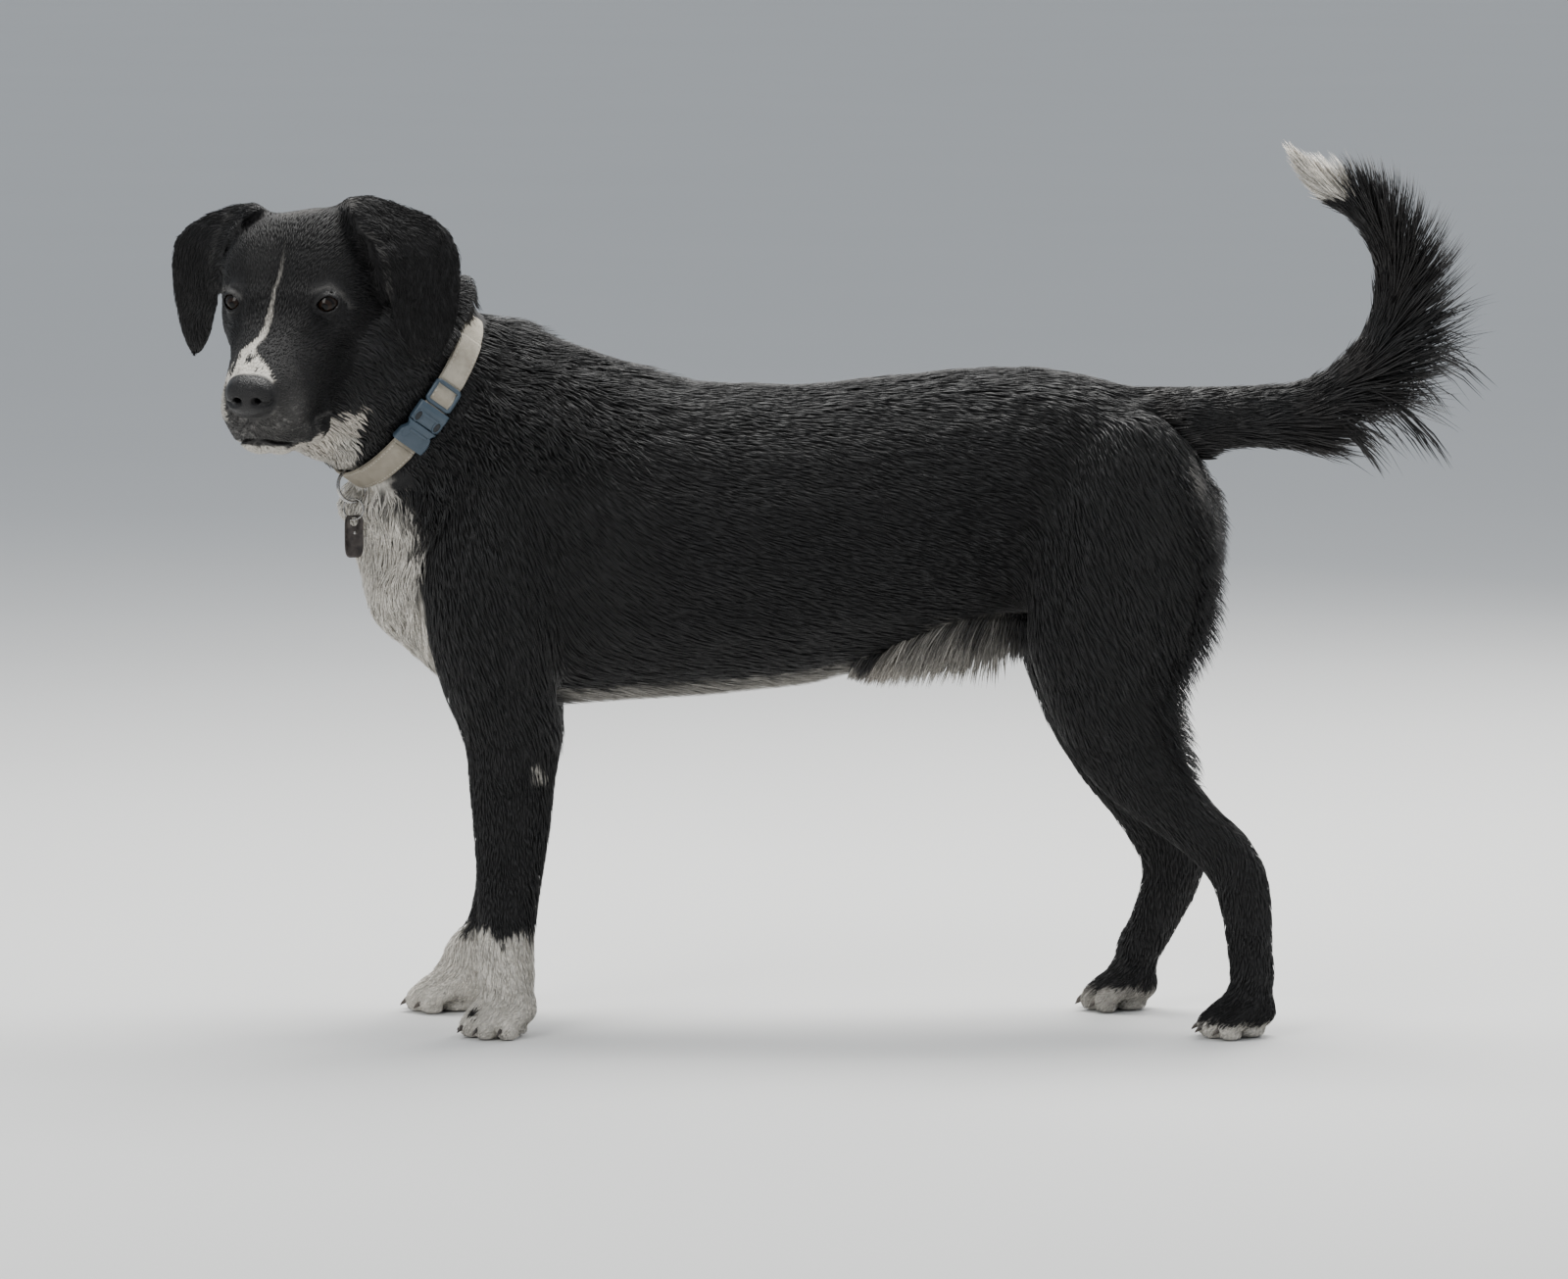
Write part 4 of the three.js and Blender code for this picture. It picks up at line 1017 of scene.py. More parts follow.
class LieField:
    """The lie, averaged in cells over the skin and softened, apart for the ears and the body."""

    CELL = 9.0

    def __init__(self, points, ways, chosen):
        points, ways = points[chosen], ways[chosen]
        low = points.min(0) - 5 * self.CELL
        shape = tuple(np.ceil((points.max(0) + 5 * self.CELL - low) / self.CELL).astype(int) + 1)
        index = np.round((points - low) / self.CELL).astype(int)
        flat = np.ravel_multi_index(index.T, shape)
        lines = [low[k] + self.CELL * np.arange(shape[k]) for k in range(3)]
        self.axes = []
        for k in range(3):
            total = np.bincount(flat, ways[:, k], minlength=int(np.prod(shape)))
            soft = blur(total.reshape(shape).astype(np.float32), 1.3)
            self.axes.append(Volume(soft, *lines))

    def at(self, points):
        return unit(np.stack([axis.at(points) for axis in self.axes], -1) + 1e-9)


skin_normals = skin_volume.normal(skin_points, 2.0)
skin_ways = guide(skin_points, skin_normals, skin_part)
is_ear = of_parts(skin_part, "ear_")
LIES = {
    "body": LieField(skin_points, skin_ways, ~is_ear),
    "ear_left": LieField(skin_points, skin_ways, of_parts(skin_part, "ear_left")),
    "ear_right": LieField(skin_points, skin_ways, of_parts(skin_part, "ear_right")),
}


# ---- Where each point lies on an unwrap of the skin ----

LIMBS = {  # the rectangle of the map, then the middle line that the angle is taken round
    "trunk": ((0.0, 0.0, 0.58, 0.5), [(-330, 0, 400), (-150, 0, 420), (120, 0, 430), (330, 0, 450)]),
    "neck": ((0.58, 0.0, 0.42, 0.22), [(-250, -10, 470), (-400, -85, 600)]),
    "head": ((0.58, 0.22, 0.42, 0.28), from_head([(0, -90, -20), (0, 108, -50)])),
    "fore_left": ((0.0, 0.5, 0.15, 0.28),
                  [(-232, -66, 480), (-245, -72, 340), (-232, -70, 200), (-250, -77, 0)]),
    "fore_right": ((0.15, 0.5, 0.15, 0.28),
                   [(-232, 66, 480), (-270, 72, 340), (-275, 73, 200), (-300, 74, 0)]),
    "hind_left": ((0.30, 0.5, 0.15, 0.28),
                  [(240, -60, 480), (250, -80, 350), (330, -80, 200), (375, -81, 0)]),
    "hind_right": ((0.45, 0.5, 0.15, 0.28),
                   [(240, 60, 480), (230, 78, 350), (295, 78, 200), (285, 80, 0)]),
    "ear_left": ((0.60, 0.5, 0.2, 0.28), from_head([(45, -80, 52), (100, -68, 45), (107, -37, -68)])),
    "ear_right": ((0.80, 0.5, 0.2, 0.28),
                  from_head([(-43, -80, 54), (-82, -74, 40), (-109, -71, -82)])),
    "tail": ((0.0, 0.78, 0.5, 0.22), tail_middle[::4]),
}


def unwrapped(points, part):
    """The place of each point on the map: the angle round its limb, and the way along it."""
    margin, overhang, lean = 0.004, 70, np.array([0.1, 0.02, 1.0])
    out = np.full((len(points), 2), 0.97)
    groups = {name: of_parts(part, name) for name in LIMBS}
    groups["head"] |= of_parts(part, "lower_jaw", "nose")
    groups["trunk"] |= of_parts(part, "sheath")
    for name, chosen in groups.items():
        (u0, v0, wide, tall), line = LIMBS[name]
        p, line = points[chosen], np.array(line, float)
        lengths = np.linalg.norm(np.diff(line, axis=0), axis=1)
        starts = np.concatenate([[0], np.cumsum(lengths)])
        best, along, turn = np.full(len(p), 1e9), np.zeros(len(p)), np.zeros(len(p))
        for k in range(len(lengths)):
            way = (line[k + 1] - line[k]) / lengths[k]
            t = (p - line[k]) @ way
            if k > 0:
                t = np.maximum(t, 0)
            if k < len(lengths) - 1:
                t = np.minimum(t, lengths[k])
            off = p - line[k] - t[:, None] * way
            steep = abs(way[2]) >= 0.9
            up = unit(np.array([1.0, 0, 0]) - way * way[0]) if steep else unit(lean - way * (lean @ way))
            side = np.cross(way, up)
            far = np.linalg.norm(off, axis=1)
            nearer = far < best
            best = np.where(nearer, far, best)
            along = np.where(nearer, starts[k] + t, along)
            turn = np.where(nearer, np.arctan2(off @ side, -(off @ up)), turn)
        share = np.clip((along + overhang) / (starts[-1] + 2 * overhang), 0, 1)
        out[chosen, 0] = u0 + margin + (turn / (2 * math.pi) + 0.5) * (wide - 2 * margin)
        out[chosen, 1] = v0 + margin + share * (tall - 2 * margin)
    return out


# ---- Materials ----


class Paint:
    """A node material, built up from its shader backwards."""

    def __init__(self, name, roughness=0.5, specular=0.5, coat=0.0, metallic=0.0):
        self.material = bpy.data.materials.new(name)
        self.material.use_nodes = True
        self.tree = self.material.node_tree
        self.shader = self.tree.nodes["Principled BSDF"]
        self.shader.inputs["Roughness"].default_value = roughness
        self.shader.inputs["Specular IOR Level"].default_value = specular
        self.shader.inputs["Coat Weight"].default_value = coat
        self.shader.inputs["Metallic"].default_value = metallic

    def node(self, kind, **values):
        """A new node, with these as its settings or, where it has none, its sockets' values."""
        made = self.tree.nodes.new(kind)
        for key, value in values.items():
            if hasattr(made, key):
                setattr(made, key, value)
            else:
                made.inputs[key].default_value = value
        return made

    def link(self, source, target):
        self.tree.links.new(source, target)

    def place(self, scale=(1, 1, 1)):
        """The piece's own coordinates, stretched."""
        at = self.node("ShaderNodeTexCoord").outputs["Object"]
        if scale == (1, 1, 1):
            return at
        mapping = self.node("ShaderNodeMapping")
        mapping.inputs["Scale"].default_value = scale
        self.link(at, mapping.inputs["Vector"])
        return mapping.outputs["Vector"]

    def noise(self, scale, detail=3.0, roughness=0.5, place=None):
        made = self.node("ShaderNodeTexNoise", Scale=scale, Detail=detail, Roughness=roughness)
        self.link(place or self.place(), made.inputs["Vector"])
        return made.outputs["Fac"]

    def cells(self, scale):
        made = self.node("ShaderNodeTexVoronoi", feature="F1", Scale=scale)
        self.link(self.place(), made.inputs["Vector"])
        return made.outputs["Distance"]

    def fit(self, value, low, high, start=0.0, end=1.0):
        """The value, moved from low to high onto start to end and held between them."""
        made = self.node("ShaderNodeMapRange")
        for key, number in (("From Min", low), ("From Max", high), ("To Min", start), ("To Max", end)):
            made.inputs[key].default_value = number
        self.link(value, made.inputs["Value"])
        return made.outputs["Result"]

    def attribute(self, name, output="Fac"):
        return self.node("ShaderNodeAttribute", attribute_name=name).outputs[output]

    def maths(self, operation, a, b=0):
        made = self.node("ShaderNodeMath", operation=operation)
        for socket, value in zip(made.inputs, (a, b)):
            if isinstance(value, (int, float)):
                socket.default_value = value
            else:
                self.link(value, socket)
        return made.outputs[0]

    def blend(self, share, a, b, how="MIX"):
        made = self.node("ShaderNodeMix", data_type="RGBA", blend_type=how)
        sockets = [s for s in made.inputs if s.enabled]
        for socket, value in zip(sockets, (share, a, b)):
            if isinstance(value, (int, float)):
                socket.default_value = value
            elif isinstance(value, tuple):
                socket.default_value = (*value, 1)
            else:
                self.link(value, socket)
        return next(s for s in made.outputs if s.enabled)

    def bump(self, height, distance, strength):
        made = self.node("ShaderNodeBump", Distance=distance, Strength=strength)
        self.link(height, made.inputs["Height"])
        return made.outputs["Normal"]

    def set(self, **sockets):
        for key, value in sockets.items():
            self.link(value, self.shader.inputs[key.replace("_", " ")])
        return self.material


def skin_paint():
    paint = Paint("skin_paint", roughness=0.6, specular=0.3)
    bare = paint.attribute("Bare")
    mottle = paint.fit(paint.noise(420, 4), 0.3, 0.7, 0.82, 1.18)
    colour = paint.blend(1.0, paint.attribute("Marking", "Color"), mottle, "MULTIPLY")
    fibres = paint.noise(900, 3, 0.6, paint.place((1, 1.6, 0.45)))
    pebbles = paint.fit(paint.cells(900), 0.0, 0.65)
    height = paint.blend(bare, fibres, pebbles)
    normal = paint.bump(height, 0.0006, 0.7)
    rough = paint.fit(bare, 0, 1, 0.68, 0.36)
    return paint.set(Base_Color=colour, Roughness=rough, Normal=normal)


def coat_paint(name, roughness, specular):
    paint = Paint(name, roughness=roughness, specular=specular)
    streaks = paint.fit(paint.noise(500, 2), 0.3, 0.7, 0.8, 1.25)
    colour = paint.blend(1.0, paint.attribute("Marking", "Color"), streaks, "MULTIPLY")
    rough = paint.fit(paint.noise(60, 2), 0.3, 0.7, roughness - 0.07, roughness + 0.08)
    return paint.set(Base_Color=colour, Roughness=rough)


def plain_paint(name, colour, other, scale, roughness, bump=0.0002, metallic=0.0, spread=0.08):
    """Two tones in a soft noise, with a fine bump and uneven shine."""
    paint = Paint(name, roughness=roughness, metallic=metallic)
    base = paint.blend(paint.fit(paint.noise(scale, 5), 0.35, 0.65), colour, other)
    rough = paint.fit(paint.noise(scale * 2.3, 4), 0.3, 0.7, roughness - spread, roughness + spread)
    return paint.set(Base_Color=base, Roughness=rough,
                     Normal=paint.bump(paint.noise(scale * 5, 3), bump, 0.5))


def give(thing, material, colours=None, **values):
    """Gives a piece its material and what the material reads at its vertices."""
    thing.data.materials.append(material)
    if colours is not None:
        data = thing.data.color_attributes.new("Marking", "FLOAT_COLOR", "POINT")
        rgba = np.ones((len(colours), 4), np.float32)
        rgba[:, :3] = colours
        data.data.foreach_set("color", rgba.ravel())
    for name, value in values.items():
        data = thing.data.attributes.new(name, "FLOAT", "POINT")
        data.data.foreach_set("value", np.asarray(value, np.float32))
    return thing


skin = new_mesh("skin", skin_points, skin_quads[:, ::-1])
skin_colours = markings(skin_points, skin_part)
give(skin, skin_paint(), skin_colours, Bare=bare_skin(skin_points, skin_part))
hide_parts(*FLESH)

# ---- The coat, in tufts ----

corner_points = skin_points[skin_quads]
quad_areas = 0.5 * np.linalg.norm(np.cross(corner_points[:, 2] - corner_points[:, 0],
                                           corner_points[:, 3] - corner_points[:, 1]), axis=1)
quad_middles = corner_points.mean(1)
quad_parts = skin_part[skin_quads[:, 0]]


def sow(density, seed):
    """Roots spread over the skin at density tufts to a square millimetre of each quad."""
    maker = np.random.default_rng(seed)
    expected = np.cumsum(quad_areas * density)
    count = int(expected[-1])
    at = np.searchsorted(expected, np.arange(count) + maker.uniform(0, 1, count))
    at = np.minimum(at, len(quad_areas) - 1)
    s, t = maker.uniform(0, 1, (2, count, 1))
    c = corner_points[at]
    roots = (c[:, 0] * (1 - s) * (1 - t) + c[:, 1] * s * (1 - t)
             + c[:, 2] * s * t + c[:, 3] * (1 - s) * t)
    return roots, quad_parts[at]


def rotated(ways, normals, degrees):
    """The ways, each turned about its normal."""
    angle = np.radians(degrees)[:, None]
    return ways * np.cos(angle) + np.cross(normals, ways) * np.sin(angle)


def walked(start, up, rings, step):
    """Paths of so many stretches from start, and the ways up along them, as step gives them."""
    path, ups = [start], [up]
    for k in range(1, rings + 1):
        at, up = step(path[-1], ups[-1], k / rings)
        path.append(at)
        ups.append(up)
    return np.stack(path, 1), np.stack(ups, 1)


def lie_paths(roots, part, lengths, heights, rings, swerve, wave, seed):
    """Paths of tufts that lie along the skin, each at its own height over it."""
    maker = np.random.default_rng(seed)
    n = len(roots)
    which = np.zeros(n, int)
    for k, ear in ((1, "ear_left"), (2, "ear_right")):
        which[of_parts(part, ear)] = k
    own = maker.normal(0, 1, n) * swerve
    clump = noise(roots, 26, seed + 1) * swerve * 1.3 + noise(roots, 60, seed + 2) * swerve * 0.9
    phase = noise(roots, 34, seed + 3) * math.pi + maker.normal(0, 0.35, n)
    stretch = (lengths / rings)[:, None]

    def step(at, normals, share):
        ways = np.empty((n, 3))
        for key, name in ((0, "body"), (1, "ear_left"), (2, "ear_right")):
            if (which == key).any():
                ways[which == key] = LIES[name].at(at[which == key])
        ways = unit(ways - normals * np.sum(ways * normals, 1)[:, None])
        bend = own + clump + wave * np.sin(phase + share * 5.0)
        ways = rotated(ways, normals, bend)
        at = at + ways * stretch
        normals = skin_volume.normal(at, 2.0)
        target = heights * (1 - (1 - share) ** 1.8)
        gap = np.clip(target - skin_volume.at(at), -3.0, 3.0)
        return at + normals * gap[:, None], normals

    normals = skin_volume.normal(roots, 2.0)
    return walked(roots - normals * 0.5, normals, rings, step)


PROFILE = {2: (0.75, 1.0), 3: (0.7, 1.0, 0.72), 4: (0.65, 1.0, 0.9, 0.55)}  # widths, ring by ring


def tuft_piece(name, path, ups, widths, part, roots, material, shade, seed, flat):
    """One joined mesh of closed tapering tufts along the paths, coloured at their roots."""
    maker = np.random.default_rng(seed + 900)
    n, stops = path.shape[:2]
    rings = stops - 1
    along = unit(np.gradient(path, axis=1))
    side = unit(np.cross(along, ups))
    over = unit(np.cross(side, along))
    profile = PROFILE[rings]
    rows = []
    for k in range(rings):
        half = (widths * profile[k] / 2)[:, None]
        p, s, o = path[:, k], side[:, k] * half, over[:, k] * half * flat
        rows += [p - s - o * 0.6, p + s - o * 0.6, p + o * 1.2]
    rows.append(path[:, -1])
    points = np.stack(rows, 1)
    points[..., 2] = np.maximum(points[..., 2], OVER_FLOOR)
    each = points.shape[1]
    faces = [(0, 1, 2)]
    for k in range(rings - 1):
        a, b = 3 * k, 3 * k + 3
        for i in range(3):
            j = (i + 1) % 3
            faces += [(a + i, b + i, a + j), (a + j, b + i, b + j)]
    last = 3 * (rings - 1)
    faces += [(last + i, each - 1, last + (i + 1) % 3) for i in range(3)]
    faces = np.array(faces)
    all_faces = (faces[None] + np.arange(n)[:, None, None] * each).reshape(-1, 3)
    thing = new_mesh(name, points.reshape(-1, 3), all_faces)
    colours = markings(roots, part)
    tint = 1 + shade * maker.uniform(-1, 1, (n, 1)) + 0.10 * noise(roots, 22, seed + 5)[:, None]
    colours = np.clip(colours * tint, 0.002, 0.9)
    give(thing, material, np.repeat(colours, each, 0))
    places = unwrapped(roots, part)
    spread = np.zeros((each, 2))
    for k in range(rings):
        for i, across in enumerate((-0.0012, 0.0012, 0)):
            spread[3 * k + i] = (across, -0.0015 + 0.003 * k / rings)
    spread[-1] = (0, 0.0015)
    uv = (places[:, None] + spread[None]).reshape(-1, 2)
    layer = thing.data.uv_layers.new(name="OFBake")
    layer.uv.foreach_set("vector", uv[all_faces.ravel()].astype(np.float32).ravel())
    return thing


PIECE_TRIANGLES = 190000  # the most in one piece of coat


def coat(name, density, style, rings, material, slot, seed, swerve=7.0, wave=0.0, flat=0.38,
         shade=0.22, paths=None):
    """Sows tufts and makes them into as many pieces as the limit of triangles asks for."""
    roots, part = sow(density, seed)
    lengths, widths, heights = style(roots, part, np.random.default_rng(seed + 50))
    if paths is None:
        path, ups = lie_paths(roots, part, lengths, heights, rings, swerve, wave, seed)
    else:
        path, ups = paths(roots, part, lengths, rings, seed)
    each = 6 * (rings - 1) + 4
    pieces = max(1, math.ceil(len(roots) * each / PIECE_TRIANGLES))
    for k in range(pieces):
        some = slice(k, None, pieces)
        label = name if pieces == 1 else f"{name}_{k + 1}"
        tuft_piece(label, path[some], ups[some], widths[some], part[some], roots[some], material,
                   shade, seed + k, flat)


def coat_regions():
    """How much of each quad belongs to each region of the coat."""
    p, part = quad_middles, quad_parts
    x, y, z = p.T
    r = {}
    furred_nose = of_parts(part, "nose") & (nose_leather(to_head(p)) < 0.5)
    r["head"] = of_parts(part, "head", "lower_jaw") | furred_nose
    r["ear"] = of_parts(part, "ear_")
    r["tail"] = of_parts(part, "tail_") & (x > 300)
    r["paw"] = of_parts(part, *[n + "_paw" for n in PAWS]) & (z < 60)
    limb = of_parts(part, "fore_", "hind_") & ~r["paw"]
    r["leg"] = limb & (z < 262)
    nape = smooth_step(-x, 105, 200) * smooth_step(z, 455, 520) * ~r["head"] * ~r["ear"]
    nape = np.maximum(nape, of_parts(part, "neck") * 1.0)
    r["ruff"] = nape * ~limb
    front = (x < -285) & (z < 480) & (z > 285) & of_parts(part, "trunk", "neck")
    r["bib"] = front * (1 - r["ruff"] * (z > 465))
    r["ruff"] = r["ruff"] * ~front
    rest = ~(r["head"] | r["ear"] | r["tail"] | r["paw"] | r["leg"])
    under_top = z < np.interp(x, SHEATH_TOP[:, 0], SHEATH_TOP[:, 1])
    sheath = of_parts(part, "trunk", "sheath") & under_top
    sheath = (sheath & (np.abs(y) < 72)) | ((z < 356) & (np.abs(y) < 44))
    r["sheath"] = sheath & rest & (x > 62) & (x < 208)
    r["body"] = rest * (1 - r["ruff"]) * ~front * ~r["sheath"]
    rearward = skin_volume.normal(p, 3)[:, 0]
    back = rest | r["leg"]
    r["feather"] = back * smooth_step(rearward, 0.35, 0.75) * (x > 255) * between(z, 222, 482, 14)
    hidden = under_collar(p)
    bare = bare_skin(p, part)
    for key in r:
        r[key] = r[key] * (1 - np.clip(bare * 1.5, 0, 1)) * ~hidden
    return r


def under_collar(p):
    """Which points the collar's band covers."""
    half_width, furthest = 10.5, 112
    offset = (p - COLLAR_CENTRE) @ COLLAR_AXIS
    around = p - COLLAR_CENTRE - offset[:, None] * COLLAR_AXIS
    return (np.abs(offset) < half_width) & (np.linalg.norm(around, axis=1) < furthest)


BLACK_COAT = coat_paint("black_coat_paint", 0.50, 0.42)
SOFT_COAT = coat_paint("long_coat_paint", 0.48, 0.45)
FACE_COAT = coat_paint("face_coat_paint", 0.60, 0.24)
region = coat_regions()
COARSE = 1.0

# Each style gives the lengths, widths and heights over the skin of the tufts at its roots.


def body_style(roots, part, maker):
    x, y, z = roots.T
    n = len(roots)
    normals = skin_volume.normal(roots, 3)
    feather = of_parts(part, "hind_") * smooth_step(normals[:, 0], 0.35, 0.85) * smooth_step(z, 230, 330)
    feather = feather * (1 - 0.5 * smooth_step(z, 455, 500)) * 0.5
    over_belly = z - np.interp(x, BELLY_X, BELLY_Z)
    fringe = (1 - smooth_step(over_belly, 4, 16)) * of_parts(part, "trunk") * (np.abs(y) < 60)
    elbow = np.exp(-np.sum(((roots - (-196, -78, 268)) / (16, 26, 26)) ** 2, 1))
    lengths = (22 + 4 * noise(roots, 40, 71)) * maker.uniform(0.8, 1.2, n) + 20 * feather + 6 * fringe
    short = np.minimum(lengths, 19 + 18 * feather + 6 * fringe)
    lengths = np.where(z < 300, short, lengths) + 6 * elbow
    ridge = smooth_step(z, 486, 545) * (x > -260) * (1 - 0.65 * between(x, -40, 110, 40))
    widths = maker.uniform(1.3, 1.95, n) + 0.35 * ridge
    heights = np.minimum(coat_depth(roots) - 1.8, 2.5) + noise(roots, 19, 72) * (0.2 + 1.1 * ridge)
    heights = heights + maker.uniform(-0.25, 0.3, n) * (1 + ridge)
    lengths = lengths + 5 * ridge
    return lengths, widths, np.maximum(heights, 0.8) + 9.0 * feather + 4.5 * fringe + 5 * elbow


def ruff_style(roots, part, maker):
    n = len(roots)
    near = 1 - smooth_step(collar_distance(roots), 16, 40)
    lengths = (31 + 7 * noise(roots, 45, 73)) * maker.uniform(0.8, 1.25, n) * (1 - 0.5 * near)
    on_face_side = smooth_step(to_head(roots)[:, 1], -95, -60)
    lengths = lengths * (1 - 0.5 * on_face_side)
    high = 0.35 + 0.65 * smooth_step(roots[:, 2], 440, 540)
    widths = maker.uniform(1.4, 2.2, n)
    heights = np.minimum(coat_depth(roots) - 1.0, 5.5)
    heights = heights + high * (1.5 * noise(roots, 22, 74) + maker.uniform(-0.6, 0.8, n))
    heights = np.clip(heights, 0.8, None) * (1 - 0.55 * near) + 0.4
    mane = np.exp(-((roots[:, 0] + 240) / 24) ** 2) * smooth_step(roots[:, 2], 545, 585)
    return lengths + 6 * mane, widths, heights + mane * (11 + maker.uniform(-3, 3, n))


def bib_style(roots, part, maker):
    n = len(roots)
    lengths = (25 + 6 * noise(roots, 35, 75)) * maker.uniform(0.8, 1.2, n)
    heights = 4.0 + 1.6 * noise(roots, 16, 76) + maker.uniform(-1, 1, n)
    heights = heights + 2.5 * np.exp(-((roots[:, 2] - 415) / 40) ** 2) * (np.abs(roots[:, 1]) < 50)
    return lengths, maker.uniform(1.4, 2.2, n), np.clip(heights, 1, None)


def head_style(roots, part, maker):
    n = len(roots)
    h = to_head(roots)
    _, f, c = h.T
    muzzle = smooth_step(f, 20, 60)
    cheek = smooth_step(-f, 10, 60)
    lengths = (8.0 - 3.6 * muzzle + 6.0 * cheek) * maker.uniform(0.8, 1.2, n)
    close = 1 - smooth_step(eye_reach(h), 14, 24)
    crown = smooth_step(c, 6, 28)
    lengths = lengths * (1 - 0.55 * close) * (1 - 0.12 * crown)
    widths = (lengths * 0.13 + 0.28) * (1 - 0.2 * crown)
    uneven = 0.25 * noise(roots, 8, 77) + maker.uniform(-0.25, 0.35, n)
    heights = 0.85 + 0.9 * cheek + uneven * (1 - 0.65 * crown) - 0.25 * crown
    return lengths, widths, np.maximum(heights * (1 - 0.5 * close) - 0.3 * muzzle, 0.3)


def ear_style(roots, part, maker):
    n = len(roots)
    low = smooth_step(-to_head(roots)[:, 2], -40, 40)
    lengths = (9 + 4 * low) * maker.uniform(0.75, 1.25, n)
    heights = 0.9 + 0.3 * noise(roots, 12, 78) + maker.uniform(-0.25, 0.3, n)
    return lengths, maker.uniform(0.9, 1.4, n), np.maximum(heights, 0.4)


def leg_style(roots, part, maker):
    n = len(roots)
    z = roots[:, 2]
    back = smooth_step(skin_volume.normal(roots, 3)[:, 0], 0.4, 0.9)
    feather = back * of_parts(part, "fore_") * smooth_step(z, 30, 90)
    lengths = (10.5 + 3 * smooth_step(z, 120, 260)) * maker.uniform(0.8, 1.2, n) + 9 * feather
    heights = np.minimum(coat_depth(roots), 3.0) * 0.55 + 0.5 * noise(roots, 11, 79) + 2.2 * feather
    return lengths, maker.uniform(1.3, 1.9, n), np.maximum(heights, 0.5)


def paw_style(roots, part, maker):
    n = len(roots)
    lengths = 6.5 * maker.uniform(0.75, 1.25, n)
    heights = 0.9 + 0.3 * noise(roots, 7, 80) + maker.uniform(-0.2, 0.3, n)
    return lengths, maker.uniform(0.95, 1.4, n), np.maximum(heights, 0.35)


def sheath_style(roots, part, maker):
    n = len(roots)
    room = np.interp(roots[:, 0], (60, 84, 120, 205), (13, 26, 40, 40))
    fall = np.clip(roots[:, 2] - 291, 6, 60)
    lengths = np.minimum(room, fall * 1.15) * maker.uniform(0.8, 1.15, n)
    return lengths, maker.uniform(0.9, 1.5, n), np.full(n, 3.0)


def sheath_paths(roots, part, lengths, rings, seed):
    """The tuft under the belly: hair that hangs and fans out forwards and back."""
    maker = np.random.default_rng(seed)
    n = len(roots)
    outward = skin_volume.normal(roots, 2.5)
    fan = np.interp(roots[:, 0], (55, 110, 150, 180, 205), (-1.0, -0.85, -0.75, -0.4, -0.05))
    fan = fan + maker.normal(0, 0.10, n) + 0.22 * noise(roots, 16, seed + 1)
    sway = maker.normal(0, 0.12, n)
    sideways = np.stack([0 * fan, np.sign(roots[:, 1] + 1e-6), 0 * fan], -1)

    def step(at, _, share):
        fall = np.stack([fan * (1.35 - 0.7 * share), sway, np.full(n, -0.55 - 0.75 * share)], -1)
        way = unit(outward * (0.55 * (1 - share) ** 2 + 0.05) + fall)
        at = at + way * (lengths / rings)[:, None]
        gap = np.clip(1.2 - skin_volume.at(at), 0, 3)
        at = at + skin_volume.normal(at, 2.5) * gap[:, None]
        at[:, 2] = np.maximum(at[:, 2], 280)
        return at, sideways

    return walked(roots - outward * 0.5, outward, rings, step)


PLUME = np.array([  # how far along the tail's line, the hair's reach outside and inside its curve
    (0, 20, 16), (60, 22, 18), (100, 27, 20), (140, 36, 22), (170, 60, 24), (212, 88, 24),
    (250, 88, 24), (285, 78, 22), (320, 68, 20), (352, 58, 18), (380, 46, 18), (405, 34, 20),
    (425, 26, 24), (446, 32, 30),
], float)


def tail_paths(roots, part, lengths, rings, seed):
    """Long hair that leaves the tail's outer side and sweeps on towards its tip."""
    maker = np.random.default_rng(seed)
    n = len(roots)
    near = nearest_on_tail(roots)
    far, along = tail_far[near], tail_along[near]
    outward = skin_volume.normal(roots, 2.5)
    plume = smooth_step(-np.sum(outward * tail_inside[near], 1), 0.15, 0.85)
    swerve = maker.normal(0, 0.10, n) + 0.16 * noise(roots, 24, seed + 1)
    lift = 0.16 + 0.62 * plume + maker.normal(0, 0.10, n) + 0.12 * noise(roots, 18, seed + 2)
    lift = np.clip(lift, 0.06, 1.1) * (0.22 + 0.78 * smooth_step(far, 90, 200))
    lift = lift * (1 - 0.92 * smooth_step(far, 385, 440)) + 0.08
    droop = smooth_step(noise(roots, 20, seed + 7) + 0.3 * maker.normal(0, 1, n), 0.2, 0.7) * plume
    droop = droop * between(far, 165, 262, 14)
    lengths = lengths * (1 + 0.15 * droop)
    flat_out = outward.copy()
    flat_out[:, 1] *= 0.55
    side = unit(np.cross(along, flat_out))
    phase = noise(roots, 30, seed + 3) * 3 + maker.normal(0, 0.4, n)

    def step(at, _, share):
        rise = lift * (1.25 - 0.75 * share)
        sway = swerve + 0.20 * np.sin(phase + 4 * share) * plume
        way = unit(along + flat_out * rise[:, None] + side * sway[:, None]
                   + np.array([0, 0, -0.10]) * (plume * share)[:, None]
                   + np.array([-0.25, 0, -1.0]) * (droop * (0.35 + share))[:, None]
                   + np.array([-0.35, 0, 0.35]) * smooth_step(far, 425, 446)[:, None])
        up = unit(flat_out - way * np.sum(flat_out * way, 1)[:, None])
        return at + way * (lengths / rings)[:, None], up

    return walked(roots - outward * 0.8, outward, rings, step)


